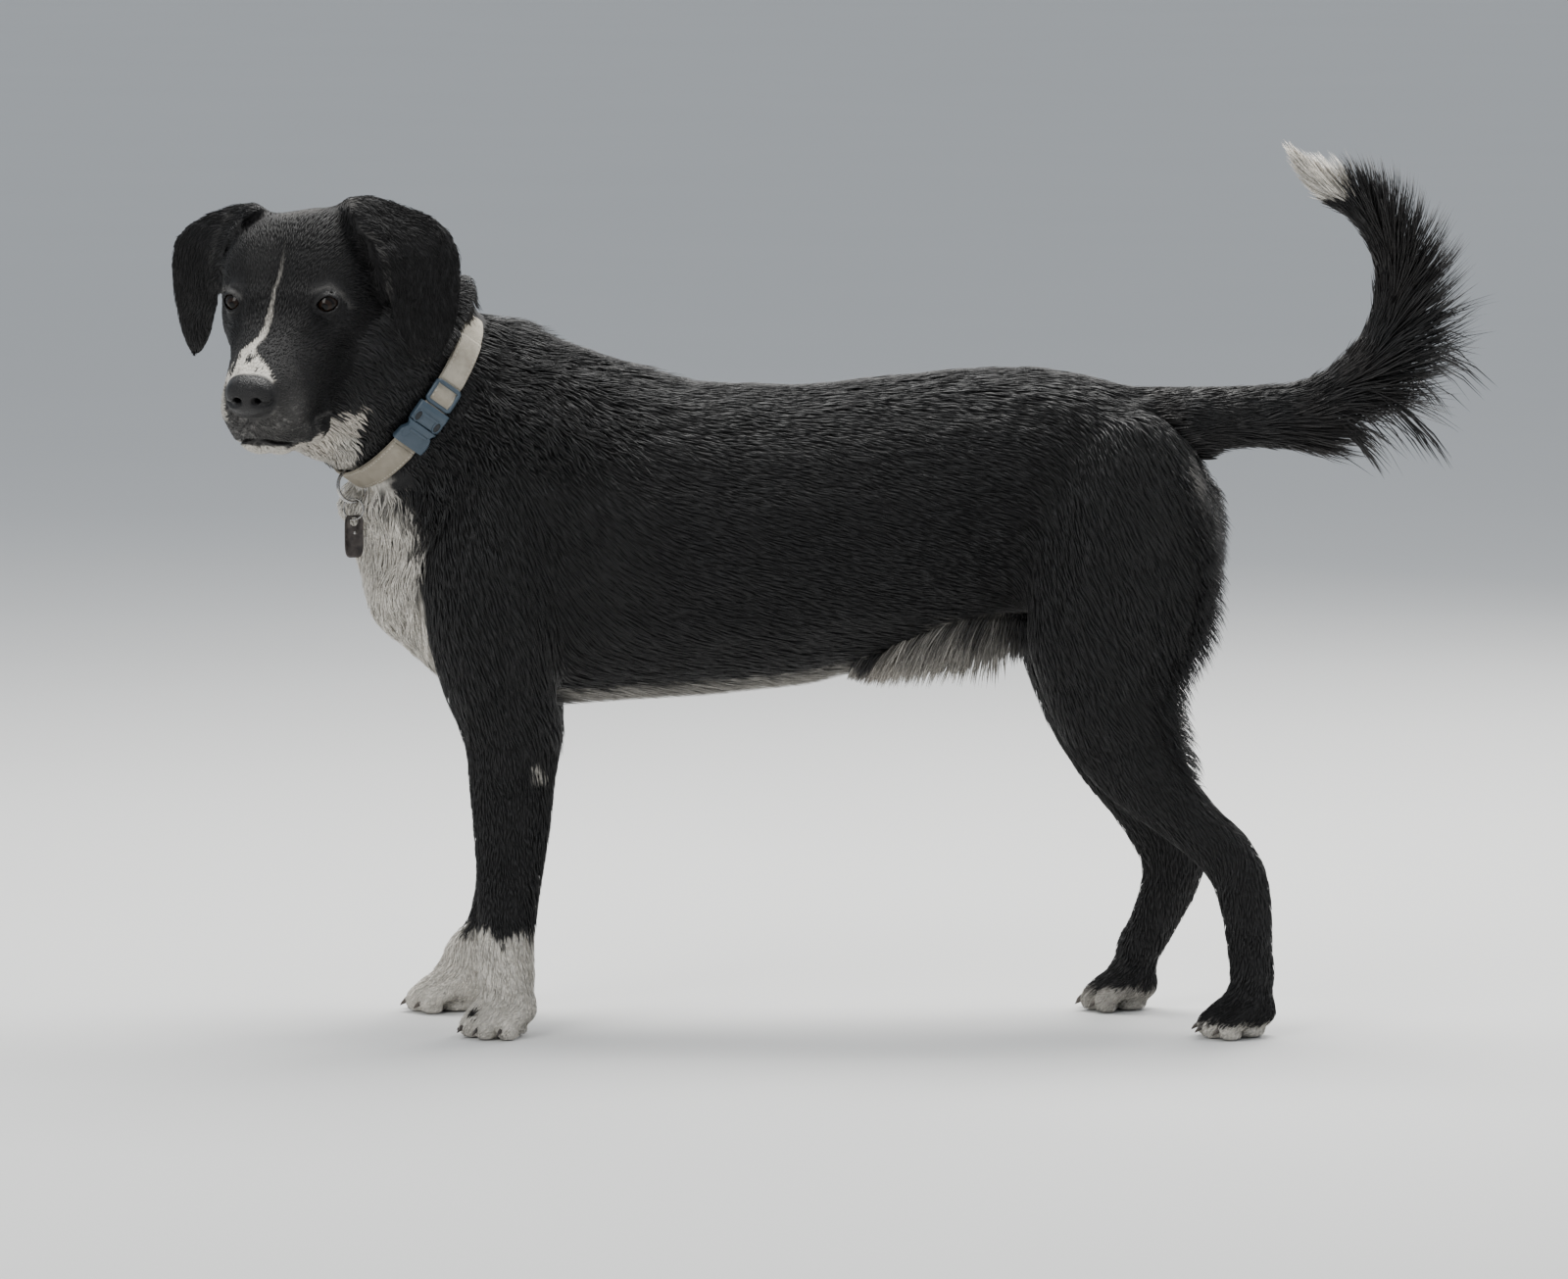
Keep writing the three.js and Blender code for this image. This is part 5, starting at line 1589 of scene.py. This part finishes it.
def tail_style(roots, part, maker):
    n = len(roots)
    near = nearest_on_tail(roots)
    outward = skin_volume.normal(roots, 2.5)
    plume = smooth_step(-np.sum(outward * tail_inside[near], 1), 0.1, 0.8)
    outer = np.interp(tail_far[near], PLUME[:, 0], PLUME[:, 1])
    inner = np.interp(tail_far[near], PLUME[:, 0], PLUME[:, 2])
    lengths = (inner + (outer - inner) * plume) * maker.uniform(0.72, 1.12, n)
    return lengths, maker.uniform(1.5, 2.6, n), np.full(n, 3.0)


def feather_style(roots, part, maker):
    n = len(roots)
    lengths = np.interp(roots[:, 2], (205, 240, 320, 400, 440, 490), (10, 25, 26, 21, 20, 13))
    return lengths * maker.uniform(0.7, 1.2, n), maker.uniform(0.9, 1.5, n), np.full(n, 3.0)


def feather_paths(roots, part, lengths, rings, seed):
    """Hair on the back of the thighs, standing off and curving down."""
    maker = np.random.default_rng(seed)
    n = len(roots)
    outward = skin_volume.normal(roots, 3)
    sway = maker.normal(0, 0.16, n) + 0.25 * noise(roots, 20, seed + 1)
    off = 0.95 + maker.normal(0, 0.16, n) + 0.30 * noise(roots, 16, seed + 2)

    def step(at, _, share):
        way = unit(outward * (off * (1.2 - 0.8 * share))[:, None]
                   + np.stack([0.1 + 0 * sway, sway, np.full(n, -0.5 - 0.4 * share)], -1))
        return at + way * (lengths / rings)[:, None], unit(outward + 0.2)

    return walked(roots - outward * 0.5, outward, rings, step)


COATS = (  # piece, region, tufts to a square millimetre, style, rings, paint, slot, seed, the rest
    ("coat_body", "body", 0.088, body_style, 2, BLACK_COAT, "black_coat", 11,
     dict(swerve=3.5, wave=4, flat=0.2, shade=0.06)),
    ("coat_neck", "ruff", 0.102, ruff_style, 3, SOFT_COAT, "black_coat", 12,
     dict(swerve=5.5, wave=15, flat=0.3, shade=0.10)),
    ("coat_bib", "bib", 0.15, bib_style, 3, SOFT_COAT, "white_coat", 13,
     dict(swerve=8, wave=20, shade=0.14)),
    ("coat_head", "head", 0.25, head_style, 2, FACE_COAT, "black_coat", 14,
     dict(swerve=3.5, flat=0.28, shade=0.10)),
    ("coat_ears", "ear", 0.20, ear_style, 2, FACE_COAT, "black_coat", 15,
     dict(swerve=8, wave=6, shade=0.12)),
    ("coat_legs", "leg", 0.105, leg_style, 2, BLACK_COAT, "black_coat", 16,
     dict(swerve=6, shade=0.12)),
    ("coat_feet", "paw", 0.27, paw_style, 2, FACE_COAT, "white_coat", 17,
     dict(swerve=8, shade=0.12)),
    ("coat_sheath", "sheath", 0.20, sheath_style, 4, SOFT_COAT, "grey_coat", 18,
     dict(paths=sheath_paths, shade=0.5)),
    ("coat_thighs", "feather", 0.14, feather_style, 3, SOFT_COAT, "black_coat", 20,
     dict(paths=feather_paths, shade=0.12)),
    ("coat_tail", "tail", 0.28, tail_style, 4, SOFT_COAT, "black_coat", 19,
     dict(paths=tail_paths, shade=0.18)),
)
for name, where, density, style, rings, paint, slot, seed, rest in COATS:
    coat(name, density * COARSE * region[where], style, rings, paint, slot, seed, **rest)

# ---- Eyes ----


def turned_ball(centre, gaze, radius, turns=72, rounds=56):
    """A ball that bulges as the cornea does where it gazes; also each point's tilt and turn."""
    up = unit(np.array([0.0, 0.0, 1.0]) - gaze * gaze[2])
    side = np.cross(gaze, up)
    tilt = np.concatenate([np.linspace(0, 0.75, rounds * 2 // 3),
                           np.linspace(0.8, math.pi, rounds // 3)])
    points, angles = [], []
    for t in tilt:
        swell = radius + 0.75 * smooth_step(0.62 - t, 0, 0.5)
        for k in range(turns):
            spin = 2 * math.pi * k / turns
            ring = math.cos(spin) * side + math.sin(spin) * up
            points.append(centre + swell * (math.cos(t) * gaze + math.sin(t) * ring))
            angles.append((t, spin))
    faces = []
    for i in range(len(tilt) - 1):
        for k in range(turns):
            j = (k + 1) % turns
            faces.append((i * turns + k, (i + 1) * turns + k, (i + 1) * turns + j, i * turns + j))
    return np.array(points), np.array(faces)[:, ::-1], np.array(angles)


def eye_paint():
    paint = Paint("eye_paint", roughness=0.05, specular=0.18, coat=0.04)
    paint.shader.inputs["Coat Roughness"].default_value = 0.02
    flecks = paint.fit(paint.noise(1500, 4), 0.3, 0.7, 0.75, 1.3)
    colour = paint.blend(1.0, paint.attribute("Marking", "Color"), flecks, "MULTIPLY")
    rough = paint.fit(paint.noise(300, 2), 0.3, 0.7, 0.04, 0.08)
    return paint.set(Base_Color=colour, Roughness=rough)


EYE_PAINT = eye_paint()
for name, side in (("left", 1), ("right", -1)):
    centre = from_head(EYE_AT * (side, 1, 1))
    gaze = unit(head_vector(unit(np.array([0.16 * side, 0.95, 0.12]))))
    points, faces, angles = turned_ball(centre, gaze, EYE_RADIUS - 0.35)
    t, spin = angles.T
    streak = 0.5 + 0.5 * np.sin(spin * 31 + 2 * np.sin(spin * 7))
    iris = np.array([0.016, 0.0085, 0.0052]) * (0.7 + 0.5 * streak[:, None])
    colour = np.where((t < 0.24)[:, None], np.array([0.002, 0.002, 0.002]), iris)
    limbus = smooth_step(t, 0.50, 0.60)[:, None]
    colour = colour * (1 - limbus) + np.array([0.004, 0.0034, 0.003]) * limbus
    sclera = smooth_step(t, 0.70, 0.86)[:, None]
    colour = colour * (1 - sclera) + np.array([0.020, 0.014, 0.011]) * sclera
    eye = new_mesh("eyeball_" + name, points, faces)
    give(eye, EYE_PAINT, colour)
    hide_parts("eye_" + name)

# ---- Claws ----


def claw(base, way, down, length, radius, turns=10, steps=7):
    """A claw that runs out along its way and curves down to a point."""
    side = unit(np.cross(way, down))
    rows = []
    for k in range(steps):
        s = k / steps
        centre = base + way * length * s + down * length * 0.42 * s * s
        ahead = unit(way + down * 0.84 * s)
        up = np.cross(ahead, side)
        thick = radius * (1 - s ** 1.7) ** 0.7
        for j in range(turns):
            spin = 2 * math.pi * j / turns
            rows.append(centre + thick * (0.72 * math.cos(spin) * side + math.sin(spin) * up))
    rows.append(base + way * length + down * length * 0.42)
    last = (steps - 1) * turns
    point = [(last + j, last + (j + 1) % turns, steps * turns) for j in range(turns)]
    return np.array(rows), np.concatenate([ring_faces(steps, turns, last=False), point])


CLAW_PAINT = plain_paint("claw_paint", (0.030, 0.025, 0.022), (0.085, 0.068, 0.055), scale=160,
                         roughness=0.34)
for name in PAWS:
    at, forward, left, long = paw_frame(name)
    parts = []
    for side in (-1, 1):
        for line, radii in TOES:
            toe, tip = np.array(line[-2:], float) * (1, side, 1)
            way = unit((tip - toe) * (1, 1, 0))
            base = from_paw(name, tip + way * (radii[-1] - 3.2) + (0, 0, 0.8))
            world = unit(way[0] * forward + way[1] * left + np.array([0, 0, -0.22]))
            points, faces = claw(base, world, np.array([0, 0, -1.0]), length=9.0, radius=2.5)
            points[:, 2] = np.maximum(points[:, 2], OVER_FLOOR)
            parts.append((points, faces))
    claws = give(new_mesh("claws_" + name, *joined(parts)), CLAW_PAINT)

# ---- The collar ----

COLLAR_SIDE = np.cross(COLLAR_NAPE, COLLAR_AXIS)
BAND_FROM, BAND_TO, BAND_WIDTH, BAND_THICK = 107.3, 426.7, 23.0, 2.4  # degrees, then mm
MEAN_RADIUS = 78  # of the collar, for how far the weave has run
NAPE_REACH, THROAT_REACH, SIDE_REACH = 90.0, 82.0, 66.0  # of the collar from its middle


def on_collar(degrees, outward=0.0, along=0.0):
    """Points this far round the collar from the nape, off its surface and along its axis."""
    angle = np.radians(np.asarray(degrees, float))
    reach = np.where(np.cos(angle) > 0, NAPE_REACH, THROAT_REACH)
    return (COLLAR_CENTRE + ((reach + outward) * np.cos(angle))[..., None] * COLLAR_NAPE
            + ((SIDE_REACH + outward) * np.sin(angle))[..., None] * COLLAR_SIDE
            + np.asarray(along)[..., None] * COLLAR_AXIS)


def collar_block(start, end, outline, steps, lift=0.0):
    """A solid bent round the collar. outline(share) gives a closed ring of (out, along)."""
    rows = []
    for k in range(steps + 1):
        share = k / steps
        ring = np.array(outline(share), float)
        degrees = np.full(len(ring), start + (end - start) * share)
        rows.append(on_collar(degrees, lift + ring[:, 0], ring[:, 1]))
    return np.concatenate(rows), ring_faces(steps + 1, len(rows[0]))


def rounded(half_width, low, high, corner, turns=4):
    """A rounded rectangle as (out, along) points."""
    out = []
    corner = min(corner, (high - low) / 2 * 0.98, half_width * 0.98)
    top, bottom, side = high - corner, low + corner, half_width - corner
    for cx, cy, begin in ((top, side, 0), (bottom, side, 90), (bottom, -side, 180), (top, -side, 270)):
        for k in range(turns + 1):
            angle = math.radians(begin + 90 * k / turns)
            out.append((cx + corner * math.cos(angle), cy + corner * math.sin(angle)))
    return out


def tube(line, radius, turns, closed=False):
    """A round rod along a line of points."""
    line = np.asarray(line, float)
    n = len(line)
    if closed:
        along = unit(np.roll(line, -1, 0) - np.roll(line, 1, 0))
    else:
        along = unit(np.gradient(line, axis=0))
    up = unit(np.cross(along[0], (0.3, 0.5, 0.8)))
    rows = []
    for k in range(n):
        up = unit(up - along[k] * (up @ along[k]))
        side = np.cross(along[k], up)
        for j in range(turns):
            spin = 2 * math.pi * j / turns
            rows.append(line[k] + radius * (math.cos(spin) * up + math.sin(spin) * side))
    return np.array(rows), ring_faces(n, turns, closed)


def webbing_paint():
    """Cream webbing: ribs across, a tight weave, stitched lines near the edges, dirt, and painted shade
    towards the throat.
    """
    paint = Paint("webbing_paint", roughness=0.85, specular=0.25)
    run = paint.attribute("Run")
    across = paint.attribute("Across")
    ribs = paint.maths("SINE", paint.maths("MULTIPLY", across, 5.2))
    weft = paint.maths("SINE", paint.maths("MULTIPLY", run, 4.4))
    weave = paint.maths("MULTIPLY", ribs, weft)
    off_seam = paint.maths("SUBTRACT", paint.maths("ABSOLUTE", across), 8.9)
    seam = paint.fit(paint.maths("ABSOLUTE", off_seam), 0.25, 0.7, 1, 0)
    dashes = paint.maths("SINE", paint.maths("MULTIPLY", run, 1.9))
    stitch = paint.maths("MULTIPLY", seam, paint.fit(dashes, -0.35, 0.1))
    dirt = paint.fit(paint.noise(45, 5, 0.6), 0.42, 0.68)
    # Painted shade: the webbing darkens towards the throat, the collar's lowest run.
    off_throat = paint.maths("ABSOLUTE", paint.maths("SUBTRACT", run, 245.0))
    low = paint.fit(off_throat, 60, 170, 0.6, 0)
    cream_shaded_at_throat = paint.blend(low, (0.56, 0.51, 0.42), (0.20, 0.17, 0.125))
    base = paint.blend(paint.maths("MULTIPLY", dirt, 0.6), cream_shaded_at_throat, (0.185, 0.155, 0.115))
    woven = paint.blend(paint.fit(weave, -1, 1, 0.30, 0.0), base, (0.11, 0.095, 0.07))
    colour = paint.blend(paint.maths("MULTIPLY", stitch, 0.8), woven, (0.55, 0.51, 0.43))
    height = paint.maths("ADD", paint.fit(weave, -1, 1), stitch)
    return paint.set(Base_Color=colour, Normal=paint.bump(height, 0.0005, 0.8))


WEBBING = webbing_paint()


def webbing(name, pieces, node):
    """Webbing in several runs, with what the weave reads at each point."""
    parts, runs, acrosses = [], [], []
    for start, end, steps, outline, lift in pieces:
        points, faces = collar_block(start, end, outline, steps, lift)
        degrees = np.repeat(np.linspace(start, end, steps + 1), len(points) // (steps + 1))
        parts.append((points, faces))
        runs.append(np.radians(degrees) * MEAN_RADIUS)
        acrosses.append((points - COLLAR_CENTRE) @ COLLAR_AXIS)
    points, faces = joined(parts)
    thing = new_mesh(name, points, faces)
    give(thing, WEBBING, Run=np.concatenate(runs), Across=np.concatenate(acrosses))
    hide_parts(node)


def band_outline(share):
    return rounded(BAND_WIDTH / 2, 0, BAND_THICK, corner=1.15, turns=3)


def lap_outline(share):
    ends = min(1, share / 0.04, (1 - share) / 0.04)
    return rounded(BAND_WIDTH / 2 - 0.4, 0, max(0.3, 2.1 * ends), corner=1.0, turns=3)


webbing("collar_webbing", [
    (BAND_FROM, BAND_TO, 190, band_outline, 0.0),
    (BAND_FROM + 2.5, BAND_FROM + 36, 40, lap_outline, BAND_THICK - 0.1),
    (BAND_TO - 33, BAND_TO - 1.0, 34, lap_outline, BAND_THICK - 0.1),
], "collar_band")

PLASTIC = plain_paint("slate_plastic_paint", (0.034, 0.056, 0.080), (0.048, 0.074, 0.100),
                      scale=70, roughness=0.42, bump=0.00012, spread=0.07)


def buckle_outline(begin, end, width, thick, notch):
    """The outline of one half of the buckle, with a waist and with flatter ends."""
    def outline(share):
        s = begin + (end - begin) * share
        edge = min(1.0, 0.55 + 2.2 * min(share, 1 - share))
        half = width / 2 - notch * math.exp(-((s - 0.5) / 0.13) ** 2)
        ring = []
        for out, along in rounded(half, 0.0, thick * (0.72 + 0.28 * edge), 1.9, 4):
            crown = 0.9 * (1 - (along / half) ** 2) if out > thick * 0.4 else 0
            ring.append((out + crown * edge, along))
        return ring
    return outline


buckle_parts = [
    collar_block(81.2, 92.2, buckle_outline(0.0, 0.35, width=30.0, thick=6.6, notch=2.4), steps=22),
    collar_block(92.7, 106.8, buckle_outline(0.35, 1.0, width=31, thick=7.4, notch=3.4), steps=30),
    collar_block(96.5, 98.0, lambda share: rounded(9.0, 5.8, 8.6, corner=0.8, turns=3), steps=4),
    collar_block(86.0, 87.2, lambda share: rounded(8.6, 5.4, 7.9, corner=0.6, turns=3), steps=4),
]
OPENINGS = ((89.0, 3.0), (99.8, 3.6))  # how far round the collar, and half their length in degrees
OPENING_ALONG = 10.0  # from the middle of the band to the middle of each opening
for sign in (-1, 1):  # the raised rims of the side openings
    for middle, reach in OPENINGS:
        spin = np.linspace(0, 2 * math.pi, 24, endpoint=False)
        line = on_collar(middle + reach * np.cos(spin), 7.1 + 0 * spin,
                         sign * (OPENING_ALONG + 3.0 * np.sin(spin)))
        buckle_parts.append(tube(line, radius=0.75, turns=6, closed=True))
buckle = give(new_mesh("buckle", *joined(buckle_parts)), PLASTIC)
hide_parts("collar_buckle")

# Painted shade: near-black sheets set inside the buckle's openings.
OPENING_SHADE = plain_paint("opening_shade_paint", (0.006, 0.008, 0.010), (0.012, 0.014, 0.017),
                           scale=90, roughness=0.6)


def opening_outline(side):
    """The outline of the dark sheet that stands for the shade inside an opening, on one side of the band.
    """
    def outline(share):
        half = 2.4 * math.sqrt(max(0.02, 1 - (2 * share - 1) ** 2))
        ring = rounded(half, 5.6, 7.45, corner=0.5, turns=2)
        return [(out, side * OPENING_ALONG + along) for out, along in ring]
    return outline


gap_parts = [collar_block(middle - 0.85 * reach, middle + 0.85 * reach, opening_outline(side), 12)
             for side in (-1, 1) for middle, reach in OPENINGS]
gaps = give(new_mesh("buckle_openings", *joined(gap_parts)), OPENING_SHADE)

# The adjuster: a frame of four bars and a middle one, with the webbing through it.
frame_corners = [(67.6, -11.6), (67.6, 11.6), (79.4, 11.6), (79.4, -11.6)]
loop = []
for (d0, a0), (d1, a1) in zip(frame_corners, frame_corners[1:] + frame_corners[:1]):
    for s in np.linspace(0.08, 0.92, 12):
        loop.append(on_collar(d0 + (d1 - d0) * s, 3.3, a0 + (a1 - a0) * s))
middle_bar = [on_collar(73.4, 1.5, a) for a in np.linspace(-11, 11, 10)]
adjuster_parts = [tube(loop, radius=1.9, turns=10, closed=True),
                  tube(middle_bar, radius=1.4, turns=10)]
adjuster = give(new_mesh("adjuster", *joined(adjuster_parts)), PLASTIC)
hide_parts("collar_adjuster")

THREAD_FROM, THREAD_TO, THREAD_STEPS = 67.2, 81.6, 26


def thread_outline(share):
    """The webbing inside the adjuster, which rises over the middle bar."""
    rise = 0.2 + 2.3 * math.sin(math.pi * share) ** 2
    return rounded(10.4, rise, rise + 2.2, corner=1.0, turns=3)


points, faces = joined([collar_block(THREAD_FROM, THREAD_TO, thread_outline, THREAD_STEPS)])
strap = new_mesh("threaded_webbing", points, faces)
turn = np.repeat(np.linspace(THREAD_FROM, THREAD_TO, THREAD_STEPS + 1), len(points) // (THREAD_STEPS + 1))
give(strap, WEBBING, Run=np.radians(turn) * MEAN_RADIUS,
     Across=(points - COLLAR_CENTRE) @ COLLAR_AXIS)

STEEL = plain_paint("steel_paint", (0.46, 0.45, 0.43), (0.30, 0.29, 0.28), scale=260,
                    roughness=0.26, bump=0.00008, metallic=1.0)
TAG_METAL = plain_paint("tag_paint", (0.085, 0.072, 0.066), (0.040, 0.034, 0.032), scale=190,
                        roughness=0.46, bump=0.0002, metallic=0.55, spread=0.12)

# The rings: the radius of each one's middle line, and of its wire.
RING_RADIUS, RING_WIRE = 14, 1.5
SPLIT_RADIUS, SPLIT_WIRE = 9, 0.62
ring_facing = unit(np.array([0.51, -0.85, 0.13]))
down = np.array([0.0, 0.0, -1.0])
ring_centre = on_collar(160.0, 7.0, 0.0)
ring_down = unit(down - ring_facing * (down @ ring_facing))
ring_side = np.cross(ring_facing, ring_down)
spin = np.linspace(0, 2 * math.pi, 72, endpoint=False)[:, None]
ring_line = ring_centre + RING_RADIUS * (np.cos(spin) * ring_down + np.sin(spin) * ring_side)
ring_tube = tube(ring_line, RING_WIRE, turns=14, closed=True)
ring = give(new_mesh("lead_ring", *joined([ring_tube])), STEEL)
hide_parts("collar_ring")

split_facing = unit(np.array([-0.35, -0.937, 0]))
split_centre = ring_centre + RING_RADIUS * ring_down + down * (SPLIT_RADIUS - 3.3)
split_side = np.cross(split_facing, down)
spin = np.linspace(-0.15, 4 * math.pi - 0.35, 150)[:, None]
layer = (spin / (4 * math.pi) - 0.5) * 1.35
split_line = split_centre + layer * split_facing + SPLIT_RADIUS * (
    np.cos(spin + 1.2) * down + np.sin(spin + 1.2) * split_side)
split = give(new_mesh("split_ring", *joined([tube(split_line, SPLIT_WIRE, turns=9)])), STEEL)
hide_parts("collar_split_ring")

# The tag: a rounded plate with a raised rim, an eyelet and a worn face.
tag_facing = unit(np.array([0.451, -0.893, 0]))
tag_side = np.cross(tag_facing, down)
tag_top = split_centre + down * (SPLIT_RADIUS + 1.7)  # the middle of its hole
HOLE_RADIUS = 3.8


def tag_outline(count=96):
    """The plate's edge: a rectangle with rounded corners, narrower below."""
    half, low, high, power = 8.5, 30.4, 5.6, 5.5
    middle, tall = (low - high) / 2, (low + high) / 2
    ring = []
    for k in range(count):
        angle = 2 * math.pi * k / count
        x, y = math.sin(angle), -math.cos(angle)
        r = (abs(x / half) ** power + abs(y / tall) ** power) ** (-1 / power)
        narrow = 1 - 0.10 * max(0.0, y * r / tall) ** 3
        ring.append((x * r * narrow, middle + y * r))
    return ring


def plate_with_hole():
    """The plate as rings from its hole out to its edge, on both faces."""
    outer = np.array(tag_outline())
    angle = np.arctan2(outer[:, 0], outer[:, 1])
    hole = HOLE_RADIUS * np.stack([np.sin(angle), np.cos(angle)], -1)
    back = [(0.0, -0.45), (0.02, -0.62), (0.10, -0.62), (0.12, -0.45), (0.86, -0.45), (0.89, -0.7),
            (0.975, -0.7), (1.0, -0.4)]  # how far out from the hole to the edge, and off the middle
    rings = back + [(share, -depth) for share, depth in reversed(back)]
    rows = []
    for share, depth in rings:
        flat = hole + (outer - hole) * share
        rows.append(tag_top + flat[:, :1] * tag_side + flat[:, 1:] * down + depth * tag_facing)
    return np.concatenate(rows), ring_faces(len(rings), len(outer), closed=True)


tag = give(new_mesh("tag", *joined([plate_with_hole()])), TAG_METAL)
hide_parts("collar_tag")

# The rivet on the tag's face: a low dome, from its top out to its foot.
RIVET_RADIUS, RIVET_HEIGHT, RIVET_TURNS = 1.7, 1.1, 20
rivet_at = tag_top + down * 9.5 + tag_side * 0.8
spins = np.linspace(0, 2 * math.pi, RIVET_TURNS, endpoint=False)
rivet_rings = [(RIVET_RADIUS * math.sin(a), 0.3 + RIVET_HEIGHT * math.cos(a))
               for a in np.linspace(0, math.pi / 2, 6)] + [(RIVET_RADIUS, 0.2)]
rows = [rivet_at + tag_facing * off + out * (math.cos(s) * tag_side + math.sin(s) * down)
        for out, off in rivet_rings for s in spins]
dome = (np.array(rows), ring_faces(len(rivet_rings), RIVET_TURNS, first=False))
rivet = give(new_mesh("tag_rivet", *joined([dome])), STEEL)

# ---- Floor, light and camera ----


def floor_paint():
    paint = Paint("floor_paint", roughness=0.8, specular=0.2)
    tone = paint.blend(paint.fit(paint.noise(1.5, 3), 0.3, 0.7), (0.675, 0.675, 0.665),
                       (0.685, 0.685, 0.675))
    return paint.set(Base_Color=tone)


floor_mesh = bpy.data.meshes.new("floor")
floor_mesh.from_pydata([(-60, -60, 0), (60, -60, 0), (60, 60, 0), (-60, 60, 0)], [], [(0, 1, 2, 3)])
floor = bpy.data.objects.new("floor", floor_mesh)
floor_mesh.materials.append(floor_paint())
bpy.context.scene.collection.objects.link(floor)

world = bpy.data.worlds.new("studio")
world.use_nodes = True
world.node_tree.nodes["Background"].inputs["Color"].default_value = (0.86, 0.92, 1.0, 1)
world.node_tree.nodes["Background"].inputs["Strength"].default_value = 0.62
bpy.context.scene.world = world


def softbox(name, at, towards, size, power, colour):
    light = bpy.data.lights.new(name, "AREA")
    light.shape = "RECTANGLE"
    light.size, light.size_y = size
    light.energy = power
    light.color = colour
    thing = bpy.data.objects.new(name, light)
    thing.location = at
    thing.rotation_euler = (Vector(towards) - Vector(at)).to_track_quat("-Z", "Y").to_euler()
    bpy.context.scene.collection.objects.link(thing)


softbox("key", (-1.9, -2.6, 2.6), (-0.1, 0, 0.4), size=(1.8, 1.8), power=62, colour=(1.0, 0.99, 0.96))
softbox("top", (0.3, 0.75, 2.7), (0, 0, 0.5), size=(2.8, 1.3), power=150, colour=(1.0, 0.99, 0.96))
softbox("back", (1.5, 2.4, 1.9), (0, 0, 0.45), size=(1.6, 1.4), power=55, colour=(1.0, 0.98, 0.95))

target = Vector(to_row(VIEW_MIDDLE))
camera = bpy.data.objects.new("camera", bpy.data.cameras.new("camera"))
camera.data.lens, camera.data.sensor_width = 216, 36
camera.location = target + Vector((0, -math.cos(ELEVATION), math.sin(ELEVATION))) * VIEW_DISTANCE / 1000
camera.rotation_euler = (target - camera.location).to_track_quat("-Z", "Y").to_euler()
bpy.context.scene.collection.objects.link(camera)
bpy.context.scene.camera = camera
